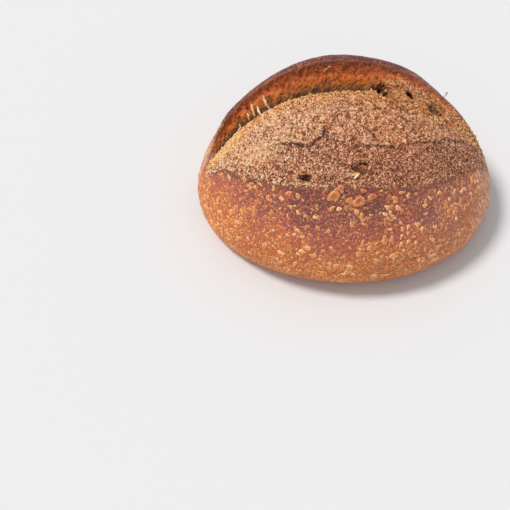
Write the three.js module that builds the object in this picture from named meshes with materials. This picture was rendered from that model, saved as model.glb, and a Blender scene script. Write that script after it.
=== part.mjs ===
import * as THREE from 'three';

// An uncut oval loaf of whole wheat hearth bread, one solid piece.
// Millimetres. X runs along the loaf, +Y towards the raised lip, +Z up.
// The origin is under the middle of the loaf, on the surface that it stands on.

// Driving sizes of the whole loaf.
const LENGTH = 240;
const WIDTH = 187;
const HEIGHT = 106;

// Levels and widths of the plain loaf, as shares of its height or half width.
const WAIST_LEVEL = 0.25;
const NOSE_LEVEL = 0.19;
const SOLE_WIDTH = 0.76;
const SOLE_END = 0.76;
const PLAN_FULLNESS = 0.53;
const CROWN_FULLNESS = 0.64;

// How square the dome's shoulder is on each side of the loaf, and how round its top is.
const BACK_SHOULDER = 3.6;
const BACK_ROUNDING = 0.5;
const FRONT_SHOULDER = 1.65;
const FRONT_ROUNDING = 0.62;

// The cut: its lip, the torn belly that rose out of it and the crevice between the two.
// Places are shares of the half width at the same station, depths are millimetres.
const RIM_PLACE = 0.725;
const LIP_THICKNESS = 0.145;
const LIP_RISE = 10.8;
const EDGE_PLACE = 0.295;
const CREVICE_DEPTH = 25.5;
const RIDGE_PLACE = -0.23;
const RIDGE_STEP = 1.4;
const TORN_PLACE = -0.56;
const TORN_STEP = 1.8;
const LEAST_GAP = 0.08;
const RIM_LEAST = 0.02;
const OUTER_MOST = 0.93;
const EDGE_LEAST = -0.05;
const EDGE_MOST = 0.75;
const NOTCH_SHARE = 0.52;

// Stations where the cut begins and ends, as shares of the half length.
const CUT_LEFT_END = 0.93;
const CREVICE_END = 0.97;

// How each line of the cut turns towards the loaf's middle at the ends.
// A turn has its amount, the station where it reaches that amount, and its sharpness.
const RIM_TURN_LEFT = { amount: 1, reach: CUT_LEFT_END, sharpness: 14 };
const RIM_TURN_RIGHT = { amount: 0.55, reach: 1, sharpness: 10 };
const EDGE_TURN_LEFT = { amount: 0.28, reach: 0.83, sharpness: 4 };
const EDGE_TURN_RIGHT = { amount: 0.28, reach: 0.95, sharpness: 6 };
const RIDGE_TURN_RIGHT = { amount: 0.5, reach: 0.9, sharpness: 4 };
const TORN_TURN = { amount: 0.45, reach: 0.92, sharpness: 4 };

// How the edge and the ridge sway along the loaf: the amount and the station where it is whole.
const EDGE_SWAY = { amount: 0.02, reach: 0.4 };
const RIDGE_SWAY_LEFT = { amount: 0.035, reach: 0.5 };
const RIDGE_SWAY_RIGHT = { amount: 0.02, reach: 0.15 };

// Where the crevice closes along the loaf, and how far the right half stays part closed.
const LEFT_CLOSING = 0.8;
const RIGHT_CLOSING = 0.55;
const PART_CLOSED = 0.5;
const PART_CLOSED_FROM = 0.06;
const PART_CLOSED_TO = 0.36;

// Where the lip and the small steps fade out towards the ends.
const FADE_FROM = 0.8;

// How much lower the lip stands on the left and on the right than in the middle.
const LEFT_DROP = { amount: 0.2, from: 0.25, to: 0.6 };
const RIGHT_DROP = { amount: 0.6, from: 0.38, to: 0.75 };

// The lip's root on the back, as a share of the half width beyond its outer line.
const ROOT_REACH = 0.06;
const ROOT_MOST = 0.97;
const ROOT_RISE = 0.35;

// The lip from its outer line to its rim: share of its thickness left, share of its rise.
const LIP_SECTION = [[1, 1], [0.5, 0.82], [0, 0.24]];

// The crevice from the rim to its bottom, then up to the belly's edge: share of the way, of the depth.
const FACE_SECTION = [[0.2, 0.4], [0.55, 0.75], [1, 1]];
const SLOPE_SECTION = [[0.36, 0.75], [0.62, 0.47], [0.88, 0.26]];

// The belly's rounded edge: share of the half width past the edge, share of the depth.
const EDGE_SECTION = [[0.05, 0.12], [0.22, 0]];

// How wide the small steps are, and where the torn crust's one levels out again.
const STEP_WIDTH = 0.04;
const TORN_LEVEL_FROM = 0.2;
const TORN_LEVEL_TO = 0.42;

// The gentle unevenness of a loaf shaped by hand: one broad swell and one finer ripple.
const SWELL = { height: 0.5, alongX: 19, alongY: 23, shiftX: 0.7, shiftY: -0.4 };
const RIPPLE = { height: 0.3, alongX: 11, alongY: 13, shift: 1.9 };

// How sharp the outline of a blister or pit is, and how fast unevenness dies out at the side.
const SPOT_SHARPNESS = 1.4;
const SIDE_FADE = 1.6;

// Blisters under the skin: plan place, radius and height.
const BLISTERS = [
  { x: -14, y: -56, radius: 6, height: 2.4 },
  { x: 5, y: -62, radius: 6.5, height: 2.2 },
  { x: 14, y: -58, radius: 4.5, height: 1.4 },
  { x: 8, y: -52, radius: 4, height: 1.1 },
];

// Pits: pockets in the crevice and torn holes in the belly.
const PITS = [
  { x: 30, y: 44, radius: 8, height: -6.5 },
  { x: 50.5, y: 42, radius: 4.8, height: -4 },
  { x: 69, y: 28.5, radius: 6.5, height: -4 },
  { x: 4.5, y: -40, radius: 5.5, height: -3 },
  { x: -35.5, y: -43.5, radius: 5, height: -3 },
];

// How finely the skin is divided.
const STATIONS = 72;
const TURN_STEPS = 5;
const COLUMNS = { outer: 8, rim: 3, notch: 6, edge: 6, ridge: 7, torn: 6, front: 14 };

const CRUST = new THREE.MeshStandardMaterial({ color: 0xa8683c, roughness: 0.75, metalness: 0 });

/** A smooth step from 0 at a to 1 at b. */
function ease(a, b, value) {
  return THREE.MathUtils.smoothstep(value, a, b);
}

/** The share of the full half width left at a station. */
function halfWidthAt(station) {
  return (1 - station * station) ** PLAN_FULLNESS;
}

/** The levels of the crown, the waist and the sole at a station, as shares of the height. */
function levelsAt(station) {
  const crown = NOSE_LEVEL + (1 - NOSE_LEVEL) * (1 - station * station) ** CROWN_FULLNESS;
  const waist = WAIST_LEVEL + (NOSE_LEVEL - WAIST_LEVEL) * station * station;
  const pastSole = Math.max(0, (Math.abs(station) - SOLE_END) / (1 - SOLE_END));
  const sole = NOSE_LEVEL * (1 - Math.sqrt(1 - pastSole * pastSole));
  return { crown, waist, sole };
}

/** The height of the plain dome over the waist, from 1 at its middle to 0 at its sides. */
function domeAt(place) {
  const back = (1 - Math.max(place, 0) ** BACK_SHOULDER) ** BACK_ROUNDING;
  const front = (1 - Math.max(-place, 0) ** FRONT_SHOULDER) ** FRONT_ROUNDING;
  return place > 0 ? back : front;
}

/** How far a line has turned in at a distance from the loaf's middle. */
function turnAt(turn, distance) {
  return turn.amount * (distance / turn.reach) ** turn.sharpness;
}

/** How far a line has swayed at a distance from the loaf's middle. */
function swayAt(sway, distance) {
  return sway.amount * ease(0, sway.reach, distance);
}

/** Where the lines of the cut cross a station, as shares of the half width there. */
function cutLinesAt(station) {
  const left = Math.max(-station, 0);
  const right = Math.max(station, 0);
  const taper = (1 - turnAt(RIM_TURN_LEFT, left)) * (1 - turnAt(RIM_TURN_RIGHT, right));
  const rim = Math.max(RIM_PLACE * taper, RIM_LEAST);
  const turnedEdge = EDGE_PLACE - turnAt(EDGE_TURN_LEFT, left)
    - swayAt(EDGE_SWAY, right) + turnAt(EDGE_TURN_RIGHT, right);
  const edge = Math.min(Math.max(turnedEdge, EDGE_LEAST), EDGE_MOST * rim);
  const turnedRidge = RIDGE_PLACE + swayAt(RIDGE_SWAY_LEFT, left)
    - swayAt(RIDGE_SWAY_RIGHT, right) + turnAt(RIDGE_TURN_RIGHT, right);
  const ridge = Math.min(turnedRidge, edge - LEAST_GAP);
  const turnedTorn = TORN_PLACE + turnAt(TORN_TURN, Math.abs(station));
  const torn = Math.min(turnedTorn, ridge - LEAST_GAP);
  const outer = Math.min(rim + LIP_THICKNESS, OUTER_MOST);
  const notch = edge + NOTCH_SHARE * (rim - edge);
  return { outer, rim, notch, edge, ridge, torn };
}

/** How open the crevice is: whole on the left, part closed on the right. */
function crevicePartAt(station) {
  const leftEnd = 1 - ease(LEFT_CLOSING, CREVICE_END, -station);
  const partClosed = 1 - PART_CLOSED * ease(PART_CLOSED_FROM, PART_CLOSED_TO, station);
  const rightEnd = 1 - ease(RIGHT_CLOSING, CREVICE_END, station);
  return leftEnd * partClosed * rightEnd;
}

/** What is left of the lip's rise after a drop, at a distance from the loaf's middle. */
function dropAt(drop, distance) {
  return 1 - drop.amount * ease(drop.from, drop.to, distance);
}

/** The rise of the lip over the plain dome, in millimetres. */
function lipRiseAt(station) {
  const lowered = dropAt(LEFT_DROP, -station) * dropAt(RIGHT_DROP, station);
  return LIP_RISE * lowered * (1 - ease(FADE_FROM, 1, Math.abs(station)));
}

/** The knots of the relief across the cut, from the back: place and rise in millimetres. */
function reliefKnots(station, lines) {
  const deep = CREVICE_DEPTH * crevicePartAt(station);
  const raised = lipRiseAt(station);
  const thickness = lines.outer - lines.rim;
  const face = lines.rim - lines.notch;
  const slope = lines.notch - lines.edge;
  return [
    [1, 0],
    [Math.min(lines.outer + ROOT_REACH, ROOT_MOST), ROOT_RISE * raised],
    ...LIP_SECTION.map(([way, rise]) => [lines.rim + way * thickness, rise * raised]),
    ...FACE_SECTION.map(([way, depth]) => [lines.rim - way * face, -depth * deep]),
    ...SLOPE_SECTION.map(([way, depth]) => [lines.notch - way * slope, -depth * deep]),
    ...EDGE_SECTION.map(([past, depth]) => [lines.edge - past, -depth * deep]),
  ];
}

/** The slope at each knot of a curve that never overshoots its knots. */
function knotSlopes(knots) {
  return knots.map((knot, k) => {
    if (k === 0 || k === knots.length - 1) return 0;
    const before = (knot[1] - knots[k - 1][1]) / (knot[0] - knots[k - 1][0]);
    const after = (knots[k + 1][1] - knot[1]) / (knots[k + 1][0] - knot[0]);
    return before * after > 0 ? (2 * before * after) / (before + after) : 0;
  });
}

/** The rise of the relief at a place, on a smooth curve through the knots. */
function reliefAt(place, knots, slopes) {
  const k = knots.findIndex((knot, index) => index > 0 && place >= knot[0]);
  if (k < 1) return 0;
  const [start, low] = knots[k - 1];
  const [end, high] = knots[k];
  const span = end - start;
  const t = THREE.MathUtils.clamp((place - start) / span, 0, 1);
  return low * (1 + 2 * t) * (1 - t) ** 2 + slopes[k - 1] * span * t * (1 - t) ** 2
    + high * t * t * (3 - 2 * t) + slopes[k] * span * t * t * (t - 1);
}

/** The small steps down at the belly's ridge and at the edge of the torn crust. */
function stepsAt(place, station, lines) {
  const part = 1 - ease(FADE_FROM, 1, Math.abs(station));
  const pastTorn = lines.torn - place;
  const levelledOut = ease(TORN_LEVEL_FROM, TORN_LEVEL_TO, pastTorn);
  const ridge = RIDGE_STEP * ease(0, STEP_WIDTH, lines.ridge - place);
  const torn = TORN_STEP * ease(0, STEP_WIDTH, pastTorn) * (1 - levelledOut);
  return -part * (ridge + torn);
}

/** Evenly spaced places from one line to the next, the first left out. */
function placesBetween(from, to, count) {
  return Array.from({ length: count }, (_, k) => from + ((to - from) * (k + 1)) / count);
}

/** Places spaced by their angle, so that they follow the turn into the side. */
function placesRoundTurn(from, to, count) {
  return placesBetween(Math.asin(from), Math.asin(to), count).map(Math.sin);
}

/** The places across the top of the loaf, from its back side to its front side. */
function topPlaces(lines) {
  return [
    1,
    ...placesRoundTurn(1, lines.outer, COLUMNS.outer),
    ...placesBetween(lines.outer, lines.rim, COLUMNS.rim),
    ...placesBetween(lines.rim, lines.notch, COLUMNS.notch),
    ...placesBetween(lines.notch, lines.edge, COLUMNS.edge),
    ...placesBetween(lines.edge, lines.ridge, COLUMNS.ridge),
    ...placesBetween(lines.ridge, lines.torn, COLUMNS.torn),
    ...placesRoundTurn(lines.torn, -1, COLUMNS.front),
  ];
}

/** The turn from the side down to the flat sole, as place and level pairs. */
function turnToSole(waist, sole) {
  return Array.from({ length: TURN_STEPS }, (_, k) => {
    const angle = (Math.PI / 2) * ((k + 1) / TURN_STEPS);
    const place = SOLE_WIDTH + (1 - SOLE_WIDTH) * Math.cos(angle);
    return [place, waist - (waist - sole) * Math.sin(angle)];
  });
}

/** The gentle unevenness of a loaf shaped by hand. */
function handShape(x, y) {
  const swell = Math.sin(x / SWELL.alongX + SWELL.shiftX) * Math.cos(y / SWELL.alongY + SWELL.shiftY);
  const ripple = Math.sin(x / RIPPLE.alongX - y / RIPPLE.alongY + RIPPLE.shift);
  return SWELL.height * swell + RIPPLE.height * ripple;
}

/** The rise of the blisters and pits at a plan place. */
function spotsAt(x, y) {
  return [...BLISTERS, ...PITS].reduce((rise, spot) => {
    const distance = Math.hypot(x - spot.x, y - spot.y) / spot.radius;
    return rise + spot.height * Math.exp(-SPOT_SHARPNESS * distance ** 2);
  }, 0);
}

/** One closed ring of the skin: over the top, then round under the flat sole. */
function ringAt(station) {
  const lines = cutLinesAt(station);
  const { crown, waist, sole } = levelsAt(station);
  const knots = reliefKnots(station, lines);
  const slopes = knotSlopes(knots);
  const half = (WIDTH / 2) * halfWidthAt(station);
  const x = (station * LENGTH) / 2;
  const fullness = (crown - waist) / (1 - WAIST_LEVEL);
  const top = topPlaces(lines).map((place) => {
    const y = place * half;
    const level = HEIGHT * (waist + (crown - waist) * domeAt(place));
    const relief = reliefAt(place, knots, slopes) + stepsAt(place, station, lines);
    const overSide = Math.min(1, SIDE_FADE * domeAt(place) * fullness);
    return [x, y, level + relief * fullness + (handShape(x, y) + spotsAt(x, y)) * overSide];
  });
  const turn = turnToSole(waist, sole);
  const frontTurn = turn.map(([place, level]) => [x, -place * half, level * HEIGHT]);
  const backTurn = turn.map(([place, level]) => [x, place * half, level * HEIGHT]).reverse();
  return [...top, ...frontTurn, ...backTurn];
}

/** The triangles between two neighbouring rings, and the fans that close both ends. */
function skinTriangles(ringCount, ringSize) {
  const leftPole = ringCount * ringSize;
  const rightPole = leftPole + 1;
  const triangles = [];
  for (let column = 0; column < ringSize; column += 1) {
    const next = (column + 1) % ringSize;
    triangles.push(leftPole, next, column);
    for (let ring = 0; ring < ringCount - 1; ring += 1) {
      const here = ring * ringSize;
      const there = here + ringSize;
      triangles.push(here + column, there + next, there + column);
      triangles.push(here + column, here + next, there + next);
    }
    const last = (ringCount - 1) * ringSize;
    triangles.push(rightPole, last + column, last + next);
  }
  return triangles;
}

/** The whole loaf as one closed body. */
function loafGeometry() {
  const rings = Array.from({ length: STATIONS }, (_, k) => {
    const station = -Math.cos((Math.PI * (k + 1)) / (STATIONS + 1));
    return ringAt(station);
  });
  const points = rings.flat();
  points.push([-LENGTH / 2, 0, NOSE_LEVEL * HEIGHT], [LENGTH / 2, 0, NOSE_LEVEL * HEIGHT]);
  const geometry = new THREE.BufferGeometry();
  geometry.setAttribute('position', new THREE.Float32BufferAttribute(points.flat(), 3));
  geometry.setIndex(skinTriangles(rings.length, rings[0].length));
  geometry.computeVertexNormals();
  return geometry;
}

const loaf = new THREE.Mesh(loafGeometry(), CRUST);
loaf.name = 'loaf';

const bread = new THREE.Group();
bread.add(loaf);

export default bread;
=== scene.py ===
"""A whole wheat hearth loaf with its crust, torn belly, blisters, bran and torn strands.

All lengths are metres. X runs along the loaf, +Y towards the raised lip, +Z up, and the
loaf stands on the plane z = 0 with the origin under its middle.
"""
import logging
import math
from dataclasses import dataclass, field
from enum import Enum
from typing import ClassVar

import bpy
import numpy as np
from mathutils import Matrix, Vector


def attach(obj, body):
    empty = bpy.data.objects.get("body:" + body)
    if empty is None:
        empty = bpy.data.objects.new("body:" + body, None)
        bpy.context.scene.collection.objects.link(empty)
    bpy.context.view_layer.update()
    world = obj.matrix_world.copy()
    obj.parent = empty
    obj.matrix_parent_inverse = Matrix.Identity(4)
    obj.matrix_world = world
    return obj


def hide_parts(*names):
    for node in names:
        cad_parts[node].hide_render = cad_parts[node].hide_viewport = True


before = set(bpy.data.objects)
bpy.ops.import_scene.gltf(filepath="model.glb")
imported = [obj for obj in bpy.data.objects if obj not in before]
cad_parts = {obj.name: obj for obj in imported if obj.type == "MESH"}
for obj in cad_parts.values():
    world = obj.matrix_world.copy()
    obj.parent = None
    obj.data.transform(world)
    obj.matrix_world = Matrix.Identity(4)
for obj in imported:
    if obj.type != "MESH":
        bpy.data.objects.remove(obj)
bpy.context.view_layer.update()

NODE = "loaf"
BODY = "root"
MILLIMETRE = 0.001
MOTTLE_DEPTH = 0.0002

# The mix node's sockets for colours, which have the same names as its sockets for numbers
MIX_PART, MIX_FIRST, MIX_SECOND, MIX_COLOUR = 0, 6, 7, 2

Array = np.ndarray
Colour = tuple[float, float, float]
Pair = tuple[float, float]
Stops = tuple[tuple[float, Colour], ...]
Socket = bpy.types.NodeSocket
Material = bpy.types.Material
Piece = bpy.types.Object

log = logging.getLogger("loaf")


class Mark(Enum):
    """The values that the crust's mesh carries for its finish."""

    TOAST = "toast"
    TORN = "torn"
    FACE = "face"
    HEIGHT = "height"
    LIGHTNESS_AND_SHEEN = "light"
    GOLD = "gold"
    CREAM_AND_SHEEN = "cream"
    FLOUR = "flour"
    PALE_AND_SHEEN = "pale"
    DOTS = "dots"
    HOLLOW_SHADE = "hollow"
    CREASE_SHADE = "seam"
    GRIT_SHADE = "grain"
    STREAK = "streak"


def ease(low: float, high: float, value: Array) -> Array:
    """A smooth step.

    Args:
        low: The value where the step starts, at 0.
        high: The value where the step ends, at 1.
        value: The values to step.

    Returns:
        The steps, from 0 to 1.
    """
    t = np.clip((np.asarray(value, float) - low) / (high - low), 0.0, 1.0)
    return t * t * (3.0 - 2.0 * t)


def unit(vectors: Array) -> Array:
    """Vectors of length 1 along the last axis."""
    return vectors / np.maximum(np.linalg.norm(vectors, axis=-1, keepdims=True), 1e-12)


class Grain:
    """Seeded random unevenness, worked out for many points at once."""

    def __init__(self, seed: int) -> None:
        """Draws the lattice.

        Args:
            seed: The seed of every random value.
        """
        rng = np.random.default_rng(seed)
        self.order = rng.permutation(256)
        self.slopes = unit(rng.normal(size=(256, 3)))
        self.values = rng.uniform(0.0, 1.0, size=(256, 3))

    def _keys(self, cells: Array) -> Array:
        """A random key from 0 to 255 for each lattice cell.

        Args:
            cells: The whole-number places of lattice cells.

        Returns:
            One key for each cell.
        """
        mixed = self.order[cells[..., 0] & 255]
        mixed = self.order[(mixed + cells[..., 1]) & 255]
        return self.order[(mixed + cells[..., 2]) & 255]

    def waves(self, points: Array, size: float) -> Array:
        """Soft bumps and dips.

        Args:
            points: Points in metres, with three coordinates each.
            size: The width of a bump.

        Returns:
            A height of about -1 to 1 for each point.
        """
        scaled = points / size
        cell = np.floor(scaled).astype(int)
        inside = scaled - cell
        blend = inside ** 3 * (inside * (inside * 6.0 - 15.0) + 10.0)
        total = np.zeros(points.shape[:-1])
        for corner in np.ndindex(2, 2, 2):
            offset = np.array(corner)
            slope = self.slopes[self._keys(cell + offset)]
            height = (slope * (inside - offset)).sum(-1)
            weight = np.where(offset == 1, blend, 1.0 - blend).prod(-1)
            total += weight * height
        return 1.7 * total

    def layers(self, points: Array, size: float, count: int = 3) -> Array:
        """Bumps with finer ones on them, from about -1 to 1.

        Args:
            points: Points in metres.
            size: The width of the largest bump.
            count: How many sizes, each half as wide as the one before.

        Returns:
            A height for each point.
        """
        total = np.zeros(points.shape[:-1])
        for layer in range(count):
            total += self.waves(points + 0.37 * layer, size / 2 ** layer) / 1.6 ** layer
        return total / 1.5

    def crumbs(self, points: Array, size: float) -> tuple[Array, Array]:
        """Round grains packed side by side.

        Args:
            points: Points in metres.
            size: The usual distance from one grain to the next.

        Returns:
            The distance to the nearest grain's middle in grain sizes, and that grain's own value.
        """
        scaled = points / size
        cell = np.floor(scaled).astype(int)
        nearest = np.full(points.shape[:-1], 9.0)
        value = np.zeros(points.shape[:-1])
        for step in np.ndindex(3, 3, 3):
            neighbour = cell + np.array(step) - 1
            keys = self._keys(neighbour)
            middle = neighbour + self.values[keys]
            distance = np.linalg.norm(scaled - middle, axis=-1)
            closer = distance < nearest
            nearest = np.where(closer, distance, nearest)
            value = np.where(closer, self.values[(keys * 7 + 3) & 255, 0], value)
        return nearest, value


@dataclass(frozen=True)
class Spot:
    """A round bump or pit in the crust: its plan place, radius and rise."""

    x: float
    y: float
    radius: float
    rise: float

    def at(self, x: Array, y: Array) -> Array:
        """The rise of the crust at plan places.

        Args:
            x: Places along the loaf.
            y: Places across the loaf.

        Returns:
            The rise in metres.
        """
        distance = np.hypot(x - self.x, y - self.y) / self.radius
        return self.rise * np.exp(-1.4 * distance ** 2)


@dataclass(frozen=True)
class CutLines:
    """Where the lines of the cut cross one station, as shares of the half width there."""

    outer: float
    rim: float
    notch: float
    edge: float
    ridge: float
    torn: float


@dataclass(frozen=True)
class Columns:
    """How many columns of points lie between one line of the section and the next."""

    outer: int = 16
    rim: int = 8
    notch: int = 34
    edge: int = 22
    ridge: int = 52
    torn: int = 36
    front: int = 46
    turn: int = 8


@dataclass
class LoafShape:
    """The true form of the loaf: a dome on a flat sole, with one opened cut."""

    length: float = 0.240
    width: float = 0.187
    height: float = 0.106
    waist_level: float = 0.25
    nose_level: float = 0.19
    sole_width: float = 0.76
    sole_end: float = 0.76
    plan_fullness: float = 0.53
    crown_fullness: float = 0.64
    back_curve: Pair = (3.6, 0.5)
    front_curve: Pair = (1.65, 0.62)
    rim_place: float = 0.725
    lip_thickness: float = 0.145
    lip_rise: float = 0.0108
    left_drop: float = 0.2
    right_drop: float = 0.6
    edge_place: float = 0.295
    crevice_depth: float = 0.0255
    ridge_place: float = -0.23
    ridge_step: float = 0.0014
    torn_place: float = -0.56
    torn_step: float = 0.0018
    least_gap: float = 0.08
    cut_left_end: float = 0.93
    crevice_end: float = 0.97
    spots: tuple[Spot, ...] = (
        Spot(-0.014, -0.056, 0.006, 0.0024),
        Spot(0.005, -0.062, 0.0065, 0.0022),
        Spot(0.014, -0.058, 0.0045, 0.0014),
        Spot(0.008, -0.052, 0.004, 0.0011),
        Spot(0.030, 0.044, 0.008, -0.0065),
        Spot(0.0505, 0.042, 0.0048, -0.004),
        Spot(0.069, 0.0285, 0.0065, -0.004),
        Spot(0.0045, -0.040, 0.0055, -0.003),
        Spot(-0.0355, -0.0435, 0.005, -0.003),
    )

    def half_width(self, station: float) -> float:
        """Half the loaf's width at a station."""
        return 0.5 * self.width * (1.0 - station * station) ** self.plan_fullness

    def levels(self, station: float) -> tuple[float, float, float]:
        """The crown, waist and sole of a station.

        Args:
            station: The place along the loaf, from -1 to 1.

        Returns:
            The three levels, as shares of the height.
        """
        rounding = (1.0 - station * station) ** self.crown_fullness
        crown = self.nose_level + (1.0 - self.nose_level) * rounding
        waist = self.waist_level + (self.nose_level - self.waist_level) * station * station
        past = max(0.0, (abs(station) - self.sole_end) / (1.0 - self.sole_end))
        sole = self.nose_level * (1.0 - math.sqrt(max(0.0, 1.0 - past * past)))
        return crown, waist, sole

    def dome(self, place: Array) -> Array:
        """The plain dome over the waist, from 1 in the middle to 0 at the sides.

        Args:
            place: Places across the top, from 1 at the back to -1 at the front.

        Returns:
            The dome's height at each place, as a share of the crown.
        """
        back, front = [(1.0 - np.clip(out, 0.0, 1.0) ** bend) ** fullness
                       for out, (bend, fullness) in ((place, self.back_curve), (-place, self.front_curve))]
        return np.where(place > 0.0, back, front)

    def cut_lines(self, station: float) -> CutLines:
        """Where the cut's lines cross a station.

        Args:
            station: The place along the loaf, from -1 to 1.

        Returns:
            The lines, in order from the back.
        """
        left, right = max(-station, 0.0), max(station, 0.0)
        taper = (1.0 - (left / self.cut_left_end) ** 14) * (1.0 - 0.55 * right ** 10)
        rim = max(self.rim_place * taper, 0.02)
        edge = (self.edge_place - 0.28 * (left / 0.83) ** 4
                - 0.02 * float(ease(0.0, 0.4, station)) + 0.28 * (right / 0.95) ** 6)
        edge = min(max(edge, -0.05), 0.75 * rim)
        ridge = (self.ridge_place + 0.035 * float(ease(0.0, 0.5, left))
                 - 0.02 * float(ease(0.0, 0.15, right)) + 0.5 * (right / 0.9) ** 4)
        ridge = min(ridge, edge - self.least_gap)
        torn = self.torn_place + 0.45 * (abs(station) / 0.92) ** 4
        torn = min(torn, ridge - self.least_gap)
        outer = min(rim + self.lip_thickness, 0.93)
        return CutLines(outer, rim, edge + 0.52 * (rim - edge), edge, ridge, torn)

    def crevice_part(self, station: float) -> float:
        """How open the crevice is at a station, from 0 to 1.

        Args:
            station: The place along the loaf, from -1 to 1.

        Returns:
            How open the crevice is there.
        """
        left_end = 1.0 - float(ease(0.8, self.crevice_end, -station))
        closing = 1.0 - 0.5 * float(ease(0.06, 0.36, station))
        right_end = 1.0 - float(ease(0.55, self.crevice_end, station))
        return left_end * closing * right_end

    def knots(self, station: float, lines: CutLines) -> Array:
        """The knots of the relief across the cut.

        Args:
            station: The place along the loaf, from -1 to 1.
            lines: The cut's lines there.

        Returns:
            Rows of place and rise, from the front to the back.
        """
        deep = self.crevice_depth * self.crevice_part(station)
        lowered = (1.0 - self.left_drop * float(ease(0.25, 0.6, -station))) * (
            1.0 - self.right_drop * float(ease(0.38, 0.75, station)))
        raised = self.lip_rise * lowered * (1.0 - float(ease(0.8, 1.0, abs(station))))
        face = lines.rim - lines.notch
        slope = lines.notch - lines.edge
        rows = [
            (1.0, 0.0),
            (min(lines.outer + 0.06, 0.97), 0.35 * raised),
            (lines.outer, raised),
            (lines.rim + 0.5 * (lines.outer - lines.rim), 0.82 * raised),
            (lines.rim, 0.24 * raised),
            (lines.rim - 0.2 * face, -0.4 * deep),
            (lines.rim - 0.55 * face, -0.75 * deep),
            (lines.notch, -deep),
            (lines.edge + 0.64 * slope, -0.75 * deep),
            (lines.edge + 0.38 * slope, -0.47 * deep),
            (lines.edge + 0.12 * slope, -0.26 * deep),
            (lines.edge - 0.05, -0.12 * deep),
            (lines.edge - 0.22, 0.0),
        ]
        return np.array(rows[::-1])

    def relief(self, place: Array, station: float, lines: CutLines) -> Array:
        """The rise of the cut's relief over the plain dome.

        Args:
            place: Places across the station.
            station: The place along the loaf, from -1 to 1.
            lines: The cut's lines there.

        Returns:
            The rise in metres.
        """
        at, rise = self.knots(station, lines).T
        span = np.diff(at)
        pitch = np.diff(rise) / span
        both = pitch[:-1] * pitch[1:]
        slope = np.zeros_like(rise)
        slope[1:-1] = np.where(both > 0, 2.0 * both / (pitch[:-1] + pitch[1:] + 1e-30), 0.0)
        k = np.clip(np.searchsorted(at, place) - 1, 0, len(span) - 1)
        t = np.clip((place - at[k]) / span[k], 0.0, 1.0)
        curve = (rise[k] * (1 + 2 * t) * (1 - t) ** 2 + slope[k] * span[k] * t * (1 - t) ** 2
                 + rise[k + 1] * t * t * (3 - 2 * t) + slope[k + 1] * span[k] * t * t * (t - 1))
        fade = 1.0 - float(ease(0.8, 1.0, abs(station)))
        past_torn = lines.torn - place
        steps = (self.ridge_step * ease(0.0, 0.04, lines.ridge - place)
                 + self.torn_step * ease(0.0, 0.04, past_torn) * (1.0 - ease(0.2, 0.42, past_torn)))
        return np.where(place > at[0], curve, 0.0) - fade * steps

    def hand_shape(self, x: Array, y: Array) -> Array:
        """The gentle unevenness of a loaf shaped by hand.

        Args:
            x: Places along the loaf, in metres.
            y: Places across it, in metres.

        Returns:
            The rise at each place, in metres.
        """
        first = 0.5 * np.sin(x / 0.019 + 0.7) * np.cos(y / 0.023 - 0.4)
        second = 0.3 * np.sin(x / 0.011 - y / 0.013 + 1.9)
        return MILLIMETRE * (first + second)

    def top_places(self, lines: CutLines, columns: Columns) -> Array:
        """The places across the top, from the back side to the front side.

        Args:
            lines: The cut's lines at this station.
            columns: How finely each stretch is divided.

        Returns:
            The places, one after the other.
        """
        turn_in = np.sin(np.linspace(math.pi / 2, math.asin(lines.outer), columns.outer + 1))
        turn_out = np.sin(np.linspace(math.asin(lines.torn), -math.pi / 2, columns.front + 1))
        stretches = [
            turn_in,
            np.linspace(lines.outer, lines.rim, columns.rim + 1)[1:],
            np.linspace(lines.rim, lines.notch, columns.notch + 1)[1:],
            np.linspace(lines.notch, lines.edge, columns.edge + 1)[1:],
            np.linspace(lines.edge, lines.ridge, columns.ridge + 1)[1:],
            np.linspace(lines.ridge, lines.torn, columns.torn + 1)[1:],
            turn_out[1:],
        ]
        return np.concatenate(stretches)

    def ring(self, station: float, columns: Columns) -> tuple[Array, Array]:
        """One closed ring of the crust: over the top, then round under the sole.

        Args:
            station: The place along the loaf, from -1 to 1.
            columns: How finely the ring is divided.

        Returns:
            The ring's points, and their places across the station.
        """
        lines = self.cut_lines(station)
        crown, waist, sole = self.levels(station)
        half = self.half_width(station)
        x = 0.5 * station * self.length
        place = self.top_places(lines, columns)
        fullness = (crown - waist) / (1.0 - self.waist_level)
        level = self.height * (waist + (crown - waist) * self.dome(place))
        rise = self.relief(place, station, lines) * fullness
        spots = sum(spot.at(x, place * half) for spot in self.spots)
        loose = np.minimum(1.0, 1.6 * self.dome(place) * fullness)
        top_z = level + rise + (self.hand_shape(x, place * half) + spots) * loose
        angle = 0.5 * math.pi * np.arange(1, columns.turn + 1) / columns.turn
        turn_place = self.sole_width + (1.0 - self.sole_width) * np.cos(angle)
        turn_z = self.height * (waist - (waist - sole) * np.sin(angle))
        across = np.concatenate([place, -turn_place, turn_place[::-1]])
        z = np.concatenate([top_z, turn_z, turn_z[::-1]])
        points = np.stack([np.full_like(across, x), across * half, z], axis=1)
        marks = np.concatenate([place, np.full(columns.turn, -1.0), np.full(columns.turn, 1.0)])
        return points, marks


@dataclass(frozen=True)
class Fold:
    """A small crescent fold on the side of the crust."""

    middle: tuple[float, float, float]
    half_length: float
    half_height: float
    depth: float

    def at(self, points: Array) -> tuple[Array, Array]:
        """The rise and the painted shade of the fold at points of the crust.

        Args:
            points: Points of the crust.

        Returns:
            The rise in metres and the painted shade from 0 to 1.
        """
        gap = points - np.array(self.middle)
        along = gap[..., 0] / self.half_length
        up = (gap[..., 2] + 0.4 * self.half_height * along ** 2) / self.half_height
        near = np.exp(-along ** 2 - (gap[..., 1] / 0.02) ** 2)
        rise = self.depth * near * (-np.exp(-up ** 2) + 0.9 * np.exp(-(up + 1.3) ** 2))
        return rise, 0.55 * near * np.exp(-((up - 0.1) / 0.8) ** 2)


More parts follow.
